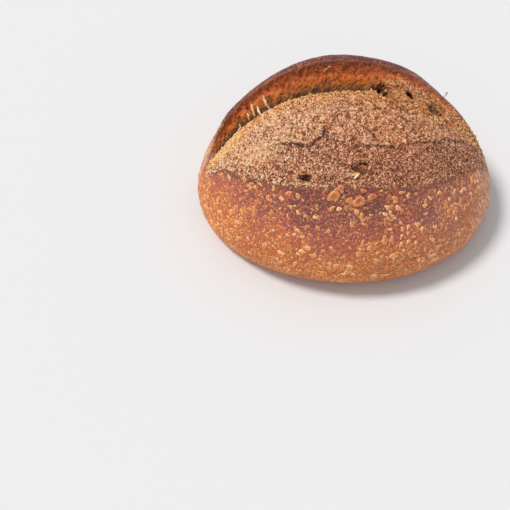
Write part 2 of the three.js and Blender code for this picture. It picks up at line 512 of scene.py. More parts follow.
@dataclass(frozen=True)
class Hollow:
    """A torn hole in the crust, longer along the loaf than up its slope."""

    RAGGED: ClassVar[float] = 0.16

    middle: tuple[float, float, float]
    half_length: float
    half_height: float
    depth: float
    # How much painted shade the hole gets
    darkness: float

    def reach(self, points: Array) -> Array:
        """How far points of the crust lie from the hole's middle: 1 at its brim.

        Args:
            points: Points of the crust.

        Returns:
            The reach of each point, without a unit.
        """
        gap = points - np.array(self.middle)
        return np.sqrt((gap[..., 0] / self.half_length) ** 2
                       + (gap[..., 1] ** 2 + gap[..., 2] ** 2) / self.half_height ** 2)

    def at(self, points: Array, ragged: Array) -> tuple[Array, Array]:
        """The rise and the painted shade of the hole at points of the crust.

        Args:
            points: The crust's points.
            ragged: Unevenness from about -1 to 1 that makes the hole's edge ragged.

        Returns:
            The rise in metres and the painted shade from 0 to 1.
        """
        reach = self.reach(points) + self.RAGGED * ragged
        inside = 1.0 - ease(0.45, 1.05, reach)
        brim = np.exp(-((reach - 1.2) / 0.22) ** 2)
        return self.depth * (0.16 * brim - inside), self.darkness * (1.0 - ease(0.35, 0.95, reach))


@dataclass(frozen=True)
class Pocket(Hollow):
    """A hole that goes in from the front on a slant, through the belly's edge into the cut.

    The fall says how far the hole drops for each metre along the loaf, and the ends how far
    from its middle the bore starts and stops to fade out.
    """

    RAGGED: ClassVar[float] = 0.30

    fall: float = 0.0
    slant: float = math.radians(56.0)
    ends: Pair = (0.019, 0.022)

    def reach(self, points: Array) -> Array:
        """How far points of the crust lie from the hole's slanting axis: 1 at its brim.

        Args:
            points: Points of the crust.

        Returns:
            The reach of each point, without a unit.
        """
        gap = points - np.array(self.middle)
        across = gap[..., 1] * math.sin(self.slant) + gap[..., 2] * math.cos(self.slant)
        inward = gap[..., 1] * math.cos(self.slant) - gap[..., 2] * math.sin(self.slant)
        dropped = (across + self.fall * gap[..., 0]) / self.half_height
        from_axis = np.hypot(gap[..., 0] / self.half_length, dropped)
        return from_axis + 2.0 * ease(*self.ends, np.abs(inward))


@dataclass(frozen=True)
class Groove:
    """A short straight crack in the top of the crust."""

    start: tuple[float, float]
    end: tuple[float, float]
    half_width: float
    depth: float
    # How much painted shade the crack gets
    darkness: float

    def at(self, points: Array, ragged: Array) -> tuple[Array, Array]:
        """The rise and the painted shade of the crack at points of the crust, with a ragged edge.

        Args:
            points: Points of the crust.
            ragged: Unevenness from about -1 to 1 at the points.

        Returns:
            The rise in metres and the painted shade from 0 to 1.
        """
        start, way = np.array(self.start), np.array(self.end) - np.array(self.start)
        gap = points[..., :2] - start
        along = np.clip((gap @ way) / (way @ way), 0.0, 1.0)
        aside = np.linalg.norm(gap - along[..., None] * way, axis=-1) / self.half_width + 0.35 * ragged
        near = np.exp(-np.clip(aside, 0.0, None) ** 2)
        return -self.depth * near, self.darkness * near


@dataclass(frozen=True)
class Seam:
    """The line where the belly tore again as it rose: coarse crumb behind it, finer in front."""

    path: tuple[tuple[float, float], ...] = (
        (-0.0577, -0.0139), (-0.0502, -0.0162), (-0.0442, -0.0162), (-0.0383, -0.0204),
        (-0.0309, -0.0212), (-0.0272, -0.0191), (-0.0234, -0.0157), (-0.0203, -0.0112),
        (-0.0190, -0.0186), (-0.0146, -0.0190), (-0.0057, -0.0229), (0.0100, -0.0240),
        (0.0312, -0.0229), (0.0422, -0.0189), (0.0519, -0.0153), (0.0637, -0.0112),
        (0.0726, -0.0045), (0.0799, -0.0013), (0.0916, 0.0051), (0.0996, 0.0069), (0.1065, 0.0111),
    )
    step: float = 0.0010
    sharpness: float = 0.0006
    reach: float = 0.0026
    dark_width: float = 0.0009
    blend: Pair = (-0.0012, 0.0006)

    def gap(self, points: Array, ragged: Array) -> Array:
        """How far behind the seam each point of the crust lies, in metres.

        Args:
            points: Points of the crust.
            ragged: Unevenness from about -1 to 1 at the points.

        Returns:
            The gaps, below 0 in front of the seam.
        """
        along, across = np.array(self.path).T
        wander = 0.0004 + 0.0012 * (1.0 - ease(-0.010, 0.015, points[..., 0]))
        return points[..., 1] - np.interp(points[..., 0], along, across) + wander * ragged

    def strength(self, points: Array) -> Array:
        """How plain the seam is: it fades out before both ends of the loaf."""
        x = points[..., 0]
        return ease(-0.068, -0.052, x) * (1.0 - ease(0.098, 0.110, x)) * (points[..., 2] > 0.03)


class Bench:
    """A material's nodes, laid out by short calls."""

    def __init__(self, name: str) -> None:
        """Makes an empty material with one surface shader.

        Args:
            name: The material's name.
        """
        self.material = bpy.data.materials.new(name)
        self.material.use_nodes = True
        self.tree = self.material.node_tree
        self.shader = self.tree.nodes["Principled BSDF"]
        self.place = self.add("ShaderNodeTexCoord").outputs["Object"]

    def add(self, kind: str, **settings: object) -> bpy.types.Node:
        """A new node with its settings.

        Args:
            kind: The node's type.
            settings: The node's own settings, by name.

        Returns:
            The node.
        """
        node = self.tree.nodes.new(kind)
        for key, value in settings.items():
            setattr(node, key, value)
        return node

    def feed(self, socket: Socket, value: object) -> None:
        """Sets a socket, or links it to another node's output.

        Args:
            socket: The input to set.
            value: A number, a colour or another node's output.
        """
        if isinstance(value, Socket):
            self.tree.links.new(value, socket)
        elif isinstance(value, tuple) and len(value) == 3 and socket.type == "RGBA":
            socket.default_value = (*value, 1.0)
        else:
            socket.default_value = value

    def field(self, name: str) -> Socket:
        """A value that the mesh carries at each point."""
        return self.add("ShaderNodeAttribute", attribute_name=name).outputs["Fac"]

    def mark(self, mark: Mark) -> Socket:
        """One of the crust's own values."""
        return self.field(mark.value)

    def plus(self, first: object, second: object, part: float) -> Socket:
        """A value with a part of another added to it."""
        return self.calc("ADD", first, self.calc("MULTIPLY", second, part))

    def swing(self, value: object, noise: object, part: float) -> Socket:
        """A value that a noise around one half moves up and down."""
        return self.plus(value, self.calc("SUBTRACT", noise, 0.5), part)

    def noise(self, size: float, detail: float = 3.0, rough: float = 0.55,
              stretch: tuple[float, float, float] = (1.0, 1.0, 1.0)) -> Socket:
        """Cloudy noise from 0 to 1.

        Args:
            size: The width of its patches.
            detail: How many finer sizes lie on them.
            rough: How strong the finer sizes are.
            stretch: How much finer it is along each axis.

        Returns:
            The noise's output.
        """
        scaled = self.add("ShaderNodeMapping")
        self.feed(scaled.inputs["Vector"], self.place)
        self.feed(scaled.inputs["Scale"], stretch)
        node = self.add("ShaderNodeTexNoise")
        self.feed(node.inputs["Vector"], scaled.outputs["Vector"])
        self.feed(node.inputs["Scale"], 1.0 / size)
        self.feed(node.inputs["Detail"], detail)
        self.feed(node.inputs["Roughness"], rough)
        return node.outputs["Fac"]

    def cells(self, size: float) -> Socket:
        """The distance to the nearest of many scattered points, from 0 to about 1.

        Args:
            size: How far apart the points lie.

        Returns:
            The distance's output.
        """
        node = self.add("ShaderNodeTexVoronoi")
        self.feed(node.inputs["Vector"], self.place)
        self.feed(node.inputs["Scale"], 1.0 / size)
        return node.outputs["Distance"]

    def calc(self, operation: str, first: object, second: object = 0.0) -> Socket:
        """One step of arithmetic.

        Args:
            operation: The step's kind.
            first: Its first value.
            second: Its second value.

        Returns:
            The step's output.
        """
        node = self.add("ShaderNodeMath", operation=operation)
        self.feed(node.inputs[0], first)
        self.feed(node.inputs[1], second)
        return node.outputs[0]

    def spread(self, value: object, low: float, high: float) -> Socket:
        """A value's range from low to high, widened to 0 to 1 and held there.

        Args:
            value: The value to widen.
            low: The value that becomes 0.
            high: The value that becomes 1.

        Returns:
            The step's output.
        """
        node = self.add("ShaderNodeMapRange", interpolation_type="SMOOTHSTEP")
        self.feed(node.inputs["Value"], value)
        self.feed(node.inputs["From Min"], low)
        self.feed(node.inputs["From Max"], high)
        return node.outputs["Result"]

    def ramp(self, value: object, stops: Stops) -> Socket:
        """Colours along a value.

        Args:
            value: The value to colour, from 0 to 1.
            stops: The colours and their places.

        Returns:
            The colour's output.
        """
        node = self.add("ShaderNodeValToRGB")
        band = node.color_ramp
        while len(band.elements) < len(stops):
            band.elements.new(0.5)
        for element, (position, colour) in zip(band.elements, stops):
            element.position = position
            element.color = (*colour, 1.0)
        self.feed(node.inputs["Fac"], value)
        return node.outputs["Color"]

    def mix(self, part: object, first: object, second: object, kind: str = "MIX") -> Socket:
        """Two colours mixed.

        Args:
            part: How much of the second colour shows.
            first: The first colour.
            second: The second colour.
            kind: How the second is laid on the first.

        Returns:
            The mixed colour.
        """
        node = self.add("ShaderNodeMix", data_type="RGBA", blend_type=kind)
        self.feed(node.inputs[MIX_PART], part)
        self.feed(node.inputs[MIX_FIRST], first)
        self.feed(node.inputs[MIX_SECOND], second)
        return node.outputs[MIX_COLOUR]

    def bump(self, height: object, distance: float, strength: float = 1.0) -> None:
        """Lets a height tilt the surface.

        Args:
            height: The height to follow.
            distance: How deep it is, in metres.
            strength: How much of it shows.
        """
        node = self.add("ShaderNodeBump")
        self.feed(node.inputs["Height"], height)
        self.feed(node.inputs["Distance"], distance)
        self.feed(node.inputs["Strength"], strength)
        self.feed(self.shader.inputs["Normal"], node.outputs["Normal"])

    def dress(self, colour: object, roughness: object, specular: float) -> Material:
        """Sets what the surface looks like and hands the material over.

        Args:
            colour: The surface's colour.
            roughness: How dull it is.
            specular: How strongly it reflects.

        Returns:
            The finished material.
        """
        self.feed(self.shader.inputs["Base Color"], colour)
        self.feed(self.shader.inputs["Roughness"], roughness)
        self.feed(self.shader.inputs["Specular IOR Level"], specular)
        return self.material


@dataclass(frozen=True)
class CrustFinish:
    """Baked crust: smooth toasted skin, torn gritty belly and the lip's fibrous inner face."""

    toast: Stops = (
        (0.0, (1.0, 0.65, 0.26)),
        (0.20, (0.86, 0.245, 0.036)),
        (0.48, (0.59, 0.145, 0.048)),
        (0.75, (0.37, 0.104, 0.094)),
        (0.90, (0.165, 0.062, 0.046)),
        (1.0, (0.10, 0.036, 0.030)),
    )
    mauve: Stops = (
        (0.0, (0.070, 0.017, 0.010)),
        (0.27, (0.22, 0.063, 0.034)),
        (0.50, (0.45, 0.155, 0.088)),
        (0.72, (0.80, 0.355, 0.195)),
        (1.0, (0.99, 0.74, 0.52)),
    )
    golden: Stops = (
        (0.0, (0.085, 0.018, 0.005)),
        (0.27, (0.28, 0.072, 0.018)),
        (0.50, (0.56, 0.155, 0.034)),
        (0.72, (0.88, 0.345, 0.085)),
        (1.0, (1.0, 0.76, 0.42)),
    )
    cream: Stops = (
        (0.0, (0.28, 0.10, 0.040)),
        (0.35, (0.80, 0.39, 0.125)),
        (0.65, (0.98, 0.63, 0.28)),
        (1.0, (1.0, 0.84, 0.60)),
    )
    inner: Stops = (
        (0.0, (0.070, 0.025, 0.009)),
        (0.22, (0.15, 0.054, 0.015)),
        (0.40, (0.31, 0.105, 0.024)),
        (0.57, (0.53, 0.128, 0.012)),
        (0.80, (0.76, 0.19, 0.055)),
        (1.0, (0.18, 0.050, 0.032)),
    )
    flour: Colour = (0.74, 0.58, 0.43)
    # Paler crust with a painted sheen of grazing light, for the right end
    pale: Colour = (0.80, 0.60, 0.54)
    bubble: Colour = (0.84, 0.46, 0.19)
    # Near black, for the painted shade in the crevice's bottom, the holes and the pockets
    hollow: Colour = (0.050, 0.015, 0.006)
    # Dark purple brown, for the painted shade along the seam, the torn edge, the cracks and the folds
    seam: Colour = (0.13, 0.042, 0.036)
    bright_streak: Colour = (0.72, 0.28, 0.05)
    dark_streak: Colour = (0.085, 0.030, 0.012)
    patch_size: float = 0.016
    speck_size: float = 0.0019
    fine_size: float = 0.0009
    pinhead_spacing: float = 0.0030
    pinhead_patch_size: float = 0.011
    patch_swing: float = 0.85
    skin_swings: Pair = (2.1, 1.9)
    torn_swings: Pair = (2.1, 1.8)
    darkest_over_toast: float = 0.10
    pinhead_patch_edges: Pair = (0.36, 0.58)
    pinhead_edges: Pair = (0.16, 0.36)
    level_swings: Pair = (0.36, 0.60)
    streak_swing: float = 1.2
    bright_streak_edges: Pair = (0.58, 0.95)
    bright_streak_share: float = 0.42
    dark_streak_edges: Pair = (0.42, 0.10)
    dark_streak_share: float = 0.6
    skin_roughness: float = 0.47
    torn_extra_roughness: float = 0.24
    speck_extra_roughness: float = 0.14
    specular: float = 0.34
    relief_shares: Pair = (0.8, 0.6)
    relief_depth: float = 0.0015
    relief_strength: float = 0.95

    def material(self) -> Material:
        """Builds the crust's material.

        Returns:
            The material, which reads the marks that the crust's mesh carries.
        """
        bench = Bench("baked_crust")
        patches = bench.noise(self.patch_size, 4.0, 0.6)
        specks = bench.noise(self.speck_size, 3.0, 0.65)
        fine = bench.noise(self.fine_size, 2.0, 0.6)
        skin = self._skin(bench, patches, specks, fine)
        torn = self._torn(bench, specks, fine)
        inner = self._inner(bench, specks, fine)
        colour = bench.mix(bench.mark(Mark.TORN), skin, torn)
        colour = bench.mix(bench.mark(Mark.FACE), colour, inner)
        # Laid on: flour, the pale skin with its painted sheen, and painted shade along the creases and in
        # the hollows
        for mark, laid_on in ((Mark.FLOUR, self.flour), (Mark.PALE_AND_SHEEN, self.pale),
                              (Mark.CREASE_SHADE, self.seam), (Mark.HOLLOW_SHADE, self.hollow)):
            colour = bench.mix(bench.mark(mark), colour, laid_on)
        rough = bench.plus(self.skin_roughness, bench.mark(Mark.TORN), self.torn_extra_roughness)
        rough = bench.plus(rough, specks, self.speck_extra_roughness)
        speck_share, fine_share = self.relief_shares
        height = bench.plus(bench.calc("MULTIPLY", specks, speck_share), fine, fine_share)
        bench.bump(height, self.relief_depth, self.relief_strength)
        return bench.dress(colour, rough, self.specular)

    def _skin(self, bench: Bench, patches: Socket, specks: Socket, fine: Socket) -> Socket:
        """The colour of the smooth skin, with pinhead bubbles.

        Args:
            bench: The material's nodes.
            patches: Broad noise.
            specks: Noise as coarse as the grit.
            fine: Noise finer than the grit.

        Returns:
            The colour's output.
        """
        warmth = bench.swing(bench.mark(Mark.TOAST), patches, self.patch_swing)
        for noise, part in zip((specks, fine), self.skin_swings):
            warmth = bench.swing(warmth, noise, part)
        darkest = bench.calc("ADD", bench.mark(Mark.TOAST), self.darkest_over_toast)
        skin = bench.ramp(bench.calc("MINIMUM", warmth, darkest), self.toast)
        gathered = bench.spread(bench.noise(self.pinhead_patch_size, 2.0), *self.pinhead_patch_edges)
        away = bench.spread(bench.cells(self.pinhead_spacing), *self.pinhead_edges)
        pinheads = bench.calc("SUBTRACT", 1.0, away)
        share = bench.calc("MULTIPLY", bench.calc("MULTIPLY", pinheads, gathered), bench.mark(Mark.DOTS))
        return bench.mix(share, skin, self.bubble)

    def _torn(self, bench: Bench, specks: Socket, fine: Socket) -> Socket:
        """The colour of the torn belly, with painted shade between its grains and painted light on their
        tips.

        Args:
            bench: The material's nodes.
            specks: Noise as coarse as the grit.
            fine: Noise finer than the grit.

        Returns:
            The colour's output.
        """
        # Painted shade and light: the grit's relief makes the gaps darker and the tips lighter
        tips = bench.plus(bench.mark(Mark.LIGHTNESS_AND_SHEEN), bench.mark(Mark.GRIT_SHADE), 1.0)
        for noise, part in zip((specks, fine), self.torn_swings):
            tips = bench.swing(tips, noise, part)
        torn = bench.mix(bench.mark(Mark.GOLD), bench.ramp(tips, self.mauve), bench.ramp(tips, self.golden))
        return bench.mix(bench.mark(Mark.CREAM_AND_SHEEN), torn, bench.ramp(tips, self.cream))

    def _inner(self, bench: Bench, specks: Socket, fine: Socket) -> Socket:
        """The colour of the lip's inner face, from its dark foot to its toasted rim.

        Args:
            bench: The material's nodes.
            specks: Noise as coarse as the grit.
            fine: Noise finer than the grit.

        Returns:
            The colour's output.
        """
        level = bench.swing(bench.mark(Mark.HEIGHT), bench.mark(Mark.STREAK), self.level_swings[0])
        level = bench.swing(level, specks, self.level_swings[1])
        inner = bench.ramp(level, self.inner)
        bright = bench.spread(bench.swing(bench.mark(Mark.STREAK), fine, self.streak_swing),
                              *self.bright_streak_edges)
        share = bench.calc("MULTIPLY", bright, self.bright_streak_share)
        inner = bench.mix(share, inner, self.bright_streak)
        dark = bench.spread(bench.swing(bench.mark(Mark.STREAK), specks, self.streak_swing),
                            *self.dark_streak_edges)
        return bench.mix(bench.calc("MULTIPLY", dark, self.dark_streak_share), inner, self.dark_streak)


@dataclass(frozen=True)
class BlisterFinish:
    """Thin golden skin of the bubbles that rose under the crust."""

    stops: Stops = (
        (0.0, (0.30, 0.085, 0.030)),
        (0.4, (0.56, 0.170, 0.048)),
        (0.72, (0.82, 0.335, 0.10)),
        (1.0, (0.98, 0.61, 0.32)),
    )
    mottle_size: float = 0.0012
    mottle_swing: float = 0.5
    relief_strength: float = 0.5
    roughness: float = 0.36
    specular: float = 0.55

    def material(self) -> Material:
        """Builds the blisters' material.

        Returns:
            The material.
        """
        bench = Bench("golden_blister")
        mottle = bench.noise(self.mottle_size, 3.0)
        tone = bench.swing(bench.field("dome"), mottle, self.mottle_swing)
        bench.bump(mottle, MOTTLE_DEPTH, self.relief_strength)
        return bench.dress(bench.ramp(tone, self.stops), self.roughness, self.specular)


@dataclass(frozen=True)
class BranFinish:
    """Flakes of bran and toasted grit, each with its own shade."""

    mauve: Stops = (
        (0.0, (0.085, 0.022, 0.012)),
        (0.35, (0.37, 0.120, 0.065)),
        (0.7, (0.79, 0.355, 0.195)),
        (1.0, (1.0, 0.77, 0.55)),
    )
    golden: Stops = (
        (0.0, (0.105, 0.025, 0.007)),
        (0.35, (0.47, 0.128, 0.024)),
        (0.7, (0.87, 0.32, 0.075)),
        (1.0, (1.0, 0.71, 0.35)),
    )
    mottle_size: float = 0.0008
    mottle_swing: float = 0.4
    relief_strength: float = 0.4
    roughness: float = 0.66
    specular: float = 0.35

    def material(self) -> Material:
        """Builds the bran's material.

        Returns:
            The material.
        """
        bench = Bench("toasted_bran")
        mottle = bench.noise(self.mottle_size, 2.0)
        tone = bench.swing(bench.field("shade"), mottle, self.mottle_swing)
        colour = bench.mix(bench.field("gold"), bench.ramp(tone, self.mauve), bench.ramp(tone, self.golden))
        bench.bump(mottle, MOTTLE_DEPTH, self.relief_strength)
        return bench.dress(colour, self.roughness, self.specular)


@dataclass(frozen=True)
class StrandFinish:
    """Dried strands of dough, stretched across the cut as it opened."""

    stops: Stops = (
        (0.0, (0.20, 0.060, 0.018)),
        (0.35, (0.48, 0.165, 0.045)),
        (0.7, (0.76, 0.38, 0.15)),
        (1.0, (0.92, 0.70, 0.46)),
    )
    mottle_size: float = 0.0022
    mottle_swing: float = 0.7
    relief_strength: float = 0.4
    roughness: float = 0.6
    specular: float = 0.4

    def material(self) -> Material:
        """Builds the strands' material.

        Returns:
            The material.
        """
        bench = Bench("dried_strand")
        mottle = bench.noise(self.mottle_size, 3.0)
        tone = bench.swing(bench.field("shade"), mottle, self.mottle_swing)
        bench.bump(mottle, MOTTLE_DEPTH, self.relief_strength)
        return bench.dress(bench.ramp(tone, self.stops), self.roughness, self.specular)


@dataclass(frozen=True)
class FloorFinish:
    """Plain pale floor with a faint unevenness."""

    colour: Colour = (0.745, 0.75, 0.76)
    cloud: Colour = (0.7, 0.7, 0.72)
    cloud_size: float = 0.4
    cloud_share: float = 0.03
    roughness: float = 0.85
    specular: float = 0.2

    def material(self) -> Material:
        """Builds the floor's material.

        Returns:
            The material.
        """
        bench = Bench("pale_floor")
        clouds = bench.noise(self.cloud_size, 2.0)
        tint = bench.mix(bench.calc("MULTIPLY", clouds, self.cloud_share), self.colour, self.cloud)
        return bench.dress(tint, self.roughness, self.specular)


def make_mesh(name: str, points: Array, faces: Array | list[list[int]], fields: dict[str, Array]) -> Piece:
    """A smooth mesh with values carried at its points.

    Args:
        name: The piece's name.
        points: One row of three coordinates for each point.
        faces: The point numbers of each face, in order round it.
        fields: Values for each point, by name.

    Returns:
        The new object, in the scene.
    """
    mesh = bpy.data.meshes.new(name)
    mesh.from_pydata(points.tolist(), [], faces.tolist() if isinstance(faces, np.ndarray) else faces)
    for key, values in fields.items():
        layer = mesh.attributes.new(key, "FLOAT", "POINT")
        layer.data.foreach_set("value", np.asarray(values, np.float32).ravel())
    mesh.shade_smooth()
    piece = bpy.data.objects.new(name, mesh)
    bpy.context.scene.collection.objects.link(piece)
    return piece


def settle(piece: Piece, material: Material) -> None:
    """Gives a piece its material and body, hides the loaf's imported part, and reports it.

    Args:
        piece: The piece to dress.
        material: Its finish.
    """
    piece.data.materials.append(material)
    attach(piece, BODY)
    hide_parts(NODE)
    piece.data.calc_loop_triangles()
    log.info("%s: %d triangles", piece.name, len(piece.data.loop_triangles))


@dataclass(frozen=True)
class Seats:
    """Places on the crust where small things sit: points, normals and grid numbers."""

    points: Array
    normals: Array
    numbers: Array

    def sides(self, turn: Array) -> tuple[Array, Array]:
        """Two directions along the crust at each place, turned by an angle.

        Args:
            turn: The angle for each place.

        Returns:
            The two directions, square to each other and to the normal.
        """
        flat = np.cross(np.broadcast_to([0.0, 1.0, 0.0], self.normals.shape), self.normals)
        first = unit(flat + 1e-9)
        second = np.cross(self.normals, first)
        c, s = np.cos(turn)[:, None], np.sin(turn)[:, None]
        return c * first + s * second, c * second - s * first

    @classmethod
    def joined(cls, parts: list["Seats"]) -> "Seats":
        """Several sets of places as one."""
        return cls(*(np.concatenate([getattr(part, name) for part in parts])
                     for name in ("points", "normals", "numbers")))


@dataclass
class Crust:
    """The loaf's whole surface, fine enough for its grit and wrinkles.

    It is a grid of points: one row for each station, one column for each place of the ring.
    """

    shape: LoafShape
    stations: int = 414
    end_crowding: float = 0.75
    columns: Columns = field(default_factory=Columns)
    seed: int = 5
    coarse_size: float = 0.0060
    sandy_size: float = 0.0026
    crumb_size: float = 0.0030
    fibre_size: float = 0.0022
    face_size: float = 0.0055
    wrinkle_size: float = 0.012
    grit_height: float = 0.00135
    fibre_height: float = 0.0012
    wrinkle_height: float = 0.0004
    seam: Seam = Seam()
    folds: tuple[Fold, ...] = (Fold((0.048, -0.084, 0.035), 0.007, 0.0022, 0.0016),)
    grooves: tuple[Groove, ...] = (
        Groove((-0.0205, -0.0095), (-0.0188, -0.0190), 0.0016, 0.0032, 0.95),
        Groove((-0.0490, -0.0172), (-0.0370, -0.0210), 0.0014, 0.0020, 0.85),
        Groove((-0.0310, -0.0218), (-0.0225, -0.0155), 0.0014, 0.0022, 0.85),
        Groove((-0.0290, -0.0270), (-0.0260, -0.0290), 0.0016, 0.0014, 0.60),
    )
    hollows: tuple[Hollow, ...] = (
        Hollow((0.0045, -0.0395, 0.0900), 0.0070, 0.0062, 0.0024, 0.35),
        Hollow((0.0048, -0.0415, 0.0885), 0.0026, 0.0020, 0.0030, 0.95),
        Hollow((0.0092, -0.0362, 0.0928), 0.0022, 0.0018, 0.0026, 0.90),
        Hollow((-0.0355, -0.0432, 0.0843), 0.0056, 0.0040, 0.0034, 0.62),
        Hollow((0.0918, -0.0117, 0.0657), 0.0026, 0.0020, 0.0016, 0.70),
        # Painted shade on the walls behind the pockets
        Hollow((0.0270, 0.0515, 0.0808), 0.0078, 0.0046, 0.0030, 0.78),
        Hollow((0.0500, 0.0440, 0.0783), 0.0050, 0.0048, 0.0026, 0.90),
        Hollow((0.0700, 0.0362, 0.0728), 0.0100, 0.0056, 0.0024, 0.74),
        Hollow((0.0650, 0.0358, 0.0756), 0.0034, 0.0034, 0.0010, 0.92),
        Hollow((0.0757, 0.0316, 0.0724), 0.0040, 0.0032, 0.0010, 0.92),
    )
    pockets: tuple[Pocket, ...] = (
        Pocket((0.0272, 0.0362, 0.0912), 0.0082, 0.0068, 0.0074, 0.66, 0.30),
        Pocket((0.0209, 0.0400, 0.0896), 0.0018, 0.0018, 0.0020, 0.92, 0.30),
        Pocket((0.0500, 0.0390, 0.0822), 0.0052, 0.0050, 0.0054, 0.92, 0.40),
        Pocket((0.0693, 0.0280, 0.0784), 0.0096, 0.0058, 0.0058, 0.60, 0.50),
        Pocket((0.0619, 0.0290, 0.0829), 0.0026, 0.0017, 0.0016, 0.92, 0.50),
        Pocket((0.0751, 0.0280, 0.0753), 0.0032, 0.0015, 0.0016, 0.92, 0.50),
    )
    widest_cell: float = 0.003
    grain: Grain = field(init=False)
    station: Array = field(init=False)
    lines: list[CutLines] = field(init=False)
    points: Array = field(init=False)
    normals: Array = field(init=False)
    places: Array = field(init=False)
    ragged: Array = field(init=False)
    seam_gap: Array = field(init=False)
    behind: Array = field(init=False)
    inner_face: Array = field(init=False)
    fields: dict[Mark, Array] = field(init=False)

    def build(self) -> Piece:
        """Builds and dresses the crust.

        Returns:
            The crust's object.
        """
        self.grain = Grain(self.seed)
        self._lay_rings()
        self.normals = self._normals()
        self.ragged = self.grain.layers(self.points, 0.0065, 3)
        self.seam_gap = self.seam.gap(self.points, self.ragged)
        self.behind = ease(*self.seam.blend, self.seam_gap)
        self.fields = self._zones()
        self.points = self.points + self.normals * self._unevenness()[..., None]
        self.points[..., 2] = np.maximum(self.points[..., 2], 0.0)
        self._level_sole()
        self.normals = self._normals()
        rows = self.points.reshape(-1, 3)
        nose = self.shape.nose_level * self.shape.height
        poles = np.array([[-0.5 * self.shape.length, 0.0, nose], [0.5 * self.shape.length, 0.0, nose]])
        values = {mark.value: np.append(grid.ravel(), grid[[0, -1]].mean(1))
                  for mark, grid in self.fields.items()}
        piece = make_mesh("crust", np.concatenate([rows, poles]), self._faces(), values)
        settle(piece, CrustFinish().material())
        return piece

    def pick(self, weight: Array, count: int, rng: np.random.Generator) -> Seats:
        """Draws places on the crust.

        Args:
            weight: How likely each point of the grid is, for the same area.
            count: How many places to draw.
            rng: The source of the random draw.

        Returns:
            The drawn places.
        """
        along = np.gradient(self.points, axis=0)
        across = np.gradient(self.points, axis=1)
        area = np.linalg.norm(np.cross(along, across), axis=-1)
        small = np.maximum(np.linalg.norm(along, axis=-1), np.linalg.norm(across, axis=-1))
        small = small < self.widest_cell
        chance = (np.clip(weight, 0.0, None) * area * small).ravel()
        drawn = rng.choice(chance.size, size=count, replace=False, p=chance / chance.sum())
        shift = rng.uniform(-0.5, 0.5, size=(2, count, 1))
        flat_along, flat_across = along.reshape(-1, 3)[drawn], across.reshape(-1, 3)[drawn]
        points = self.points.reshape(-1, 3)[drawn] + shift[0] * flat_along + shift[1] * flat_across
        return Seats(points, self.normals.reshape(-1, 3)[drawn], drawn)

    def nearest(self, wanted: Array) -> tuple[Array, Array]:
        """The crust's points and normals nearest to some wanted points.

        Args:
            wanted: One row of three coordinates for each wanted point.

        Returns:
            One row for each wanted point, of points and of normals.
        """
        rows = self.points.reshape(-1, 3)
        found = [int(((rows - point) ** 2).sum(-1).argmin()) for point in wanted]
        return rows[found], self.normals.reshape(-1, 3)[found]

    def seat_at(self, x: float, y: float) -> Seats:
        """The place on the top of the crust above a plan place.

        Args:
            x: The place along the loaf, in metres.
            y: The place across it, in metres.

        Returns:
            The one seat there.
        """
        upward = self.normals[..., 2] > 0.02
        gap = np.hypot(self.points[..., 0] - x, self.points[..., 1] - y) + np.where(upward, 0.0, 1.0)
        drawn = np.array([int(gap.argmin())])
        return Seats(self.points.reshape(-1, 3)[drawn], self.normals.reshape(-1, 3)[drawn], drawn)

    def _lay_rings(self) -> None:
        """Lays out the plain surface, ring by ring."""
        step = np.linspace(-1.0, 1.0, self.stations + 2)[1:-1]
        spaced = (1.0 - self.end_crowding) * step + self.end_crowding * np.sin(0.5 * math.pi * step)
        rings = [self.shape.ring(float(station), self.columns) for station in spaced]
        self.station = spaced
        self.lines = [self.shape.cut_lines(float(station)) for station in spaced]
        self.points = np.stack([points for points, _ in rings])
        self.places = np.stack([marks for _, marks in rings])

    def line(self, name: str) -> Array:
        """One line of the cut at every station, as a column."""
        return np.array([getattr(lines, name) for lines in self.lines])[:, None]

    def _normals(self) -> Array:
        """The outward normals of the grid of points.

        Returns:
            One normal of length 1 for each point.
        """
        along = np.gradient(self.points, axis=0)
        across = np.roll(self.points, -1, axis=1) - np.roll(self.points, 1, axis=1)
        return unit(np.cross(across, along))

    def _zones(self) -> dict[Mark, Array]:
        """Where each kind of crust lies and how baked it is.

        Returns:
            A value for each point, by its mark.
        """
        station = np.broadcast_to(self.station[:, None], self.places.shape)
        level = self.points[..., 2] / self.shape.height
        broad = self.grain.layers(self.points + 0.5, 0.045, 2)
        patchy = self.grain.layers(self.points + 0.8, 0.018, 2)
        opened = np.array([self.shape.crevice_part(float(s)) for s in self.station])[:, None]
        in_cut = ease(-0.95, -0.90, station) * (1.0 - ease(0.90, 0.985, station))
        torn = self._torn_part(in_cut)
        depth, face = self._face_part(station, opened, in_cut)
        band = self._rim_band(in_cut)
        light, gold, cream = self._belly_tones(station, broad, patchy)
        flour, pale = self._dust(station, level, band, torn)
        return {
            Mark.TOAST: self._baking(level, broad, band),
            Mark.TORN: torn,
            Mark.FACE: face,
            Mark.HEIGHT: depth,
            Mark.LIGHTNESS_AND_SHEEN: light,
            Mark.GOLD: gold,
            Mark.CREAM_AND_SHEEN: cream * torn,
            Mark.FLOUR: flour,
            Mark.PALE_AND_SHEEN: pale * (0.75 + 0.5 * self.ragged + 0.3 * patchy),
            Mark.DOTS: (1.0 - band) * (0.45 + 0.55 * (1.0 - ease(0.3, 0.75, level))),
            Mark.HOLLOW_SHADE: self._painted_shade(opened, station),
            Mark.CREASE_SHADE: self._crease_shade(station),
        }

    def _torn_part(self, in_cut: Array) -> Array:
        """Where the crust is torn: from the belly's front edge to the rim.

        Args:
            in_cut: Where along the loaf the cut is.

        Returns:
            How far each point is torn, from 0 to 1.
        """
        below_torn = self.places - self.line("torn") + 0.018 * self.ragged
        over_rim = ease(-0.004, 0.004, self.places - self.line("rim"))
        return ease(-0.008, 0.008, below_torn) * (1.0 - over_rim) * in_cut

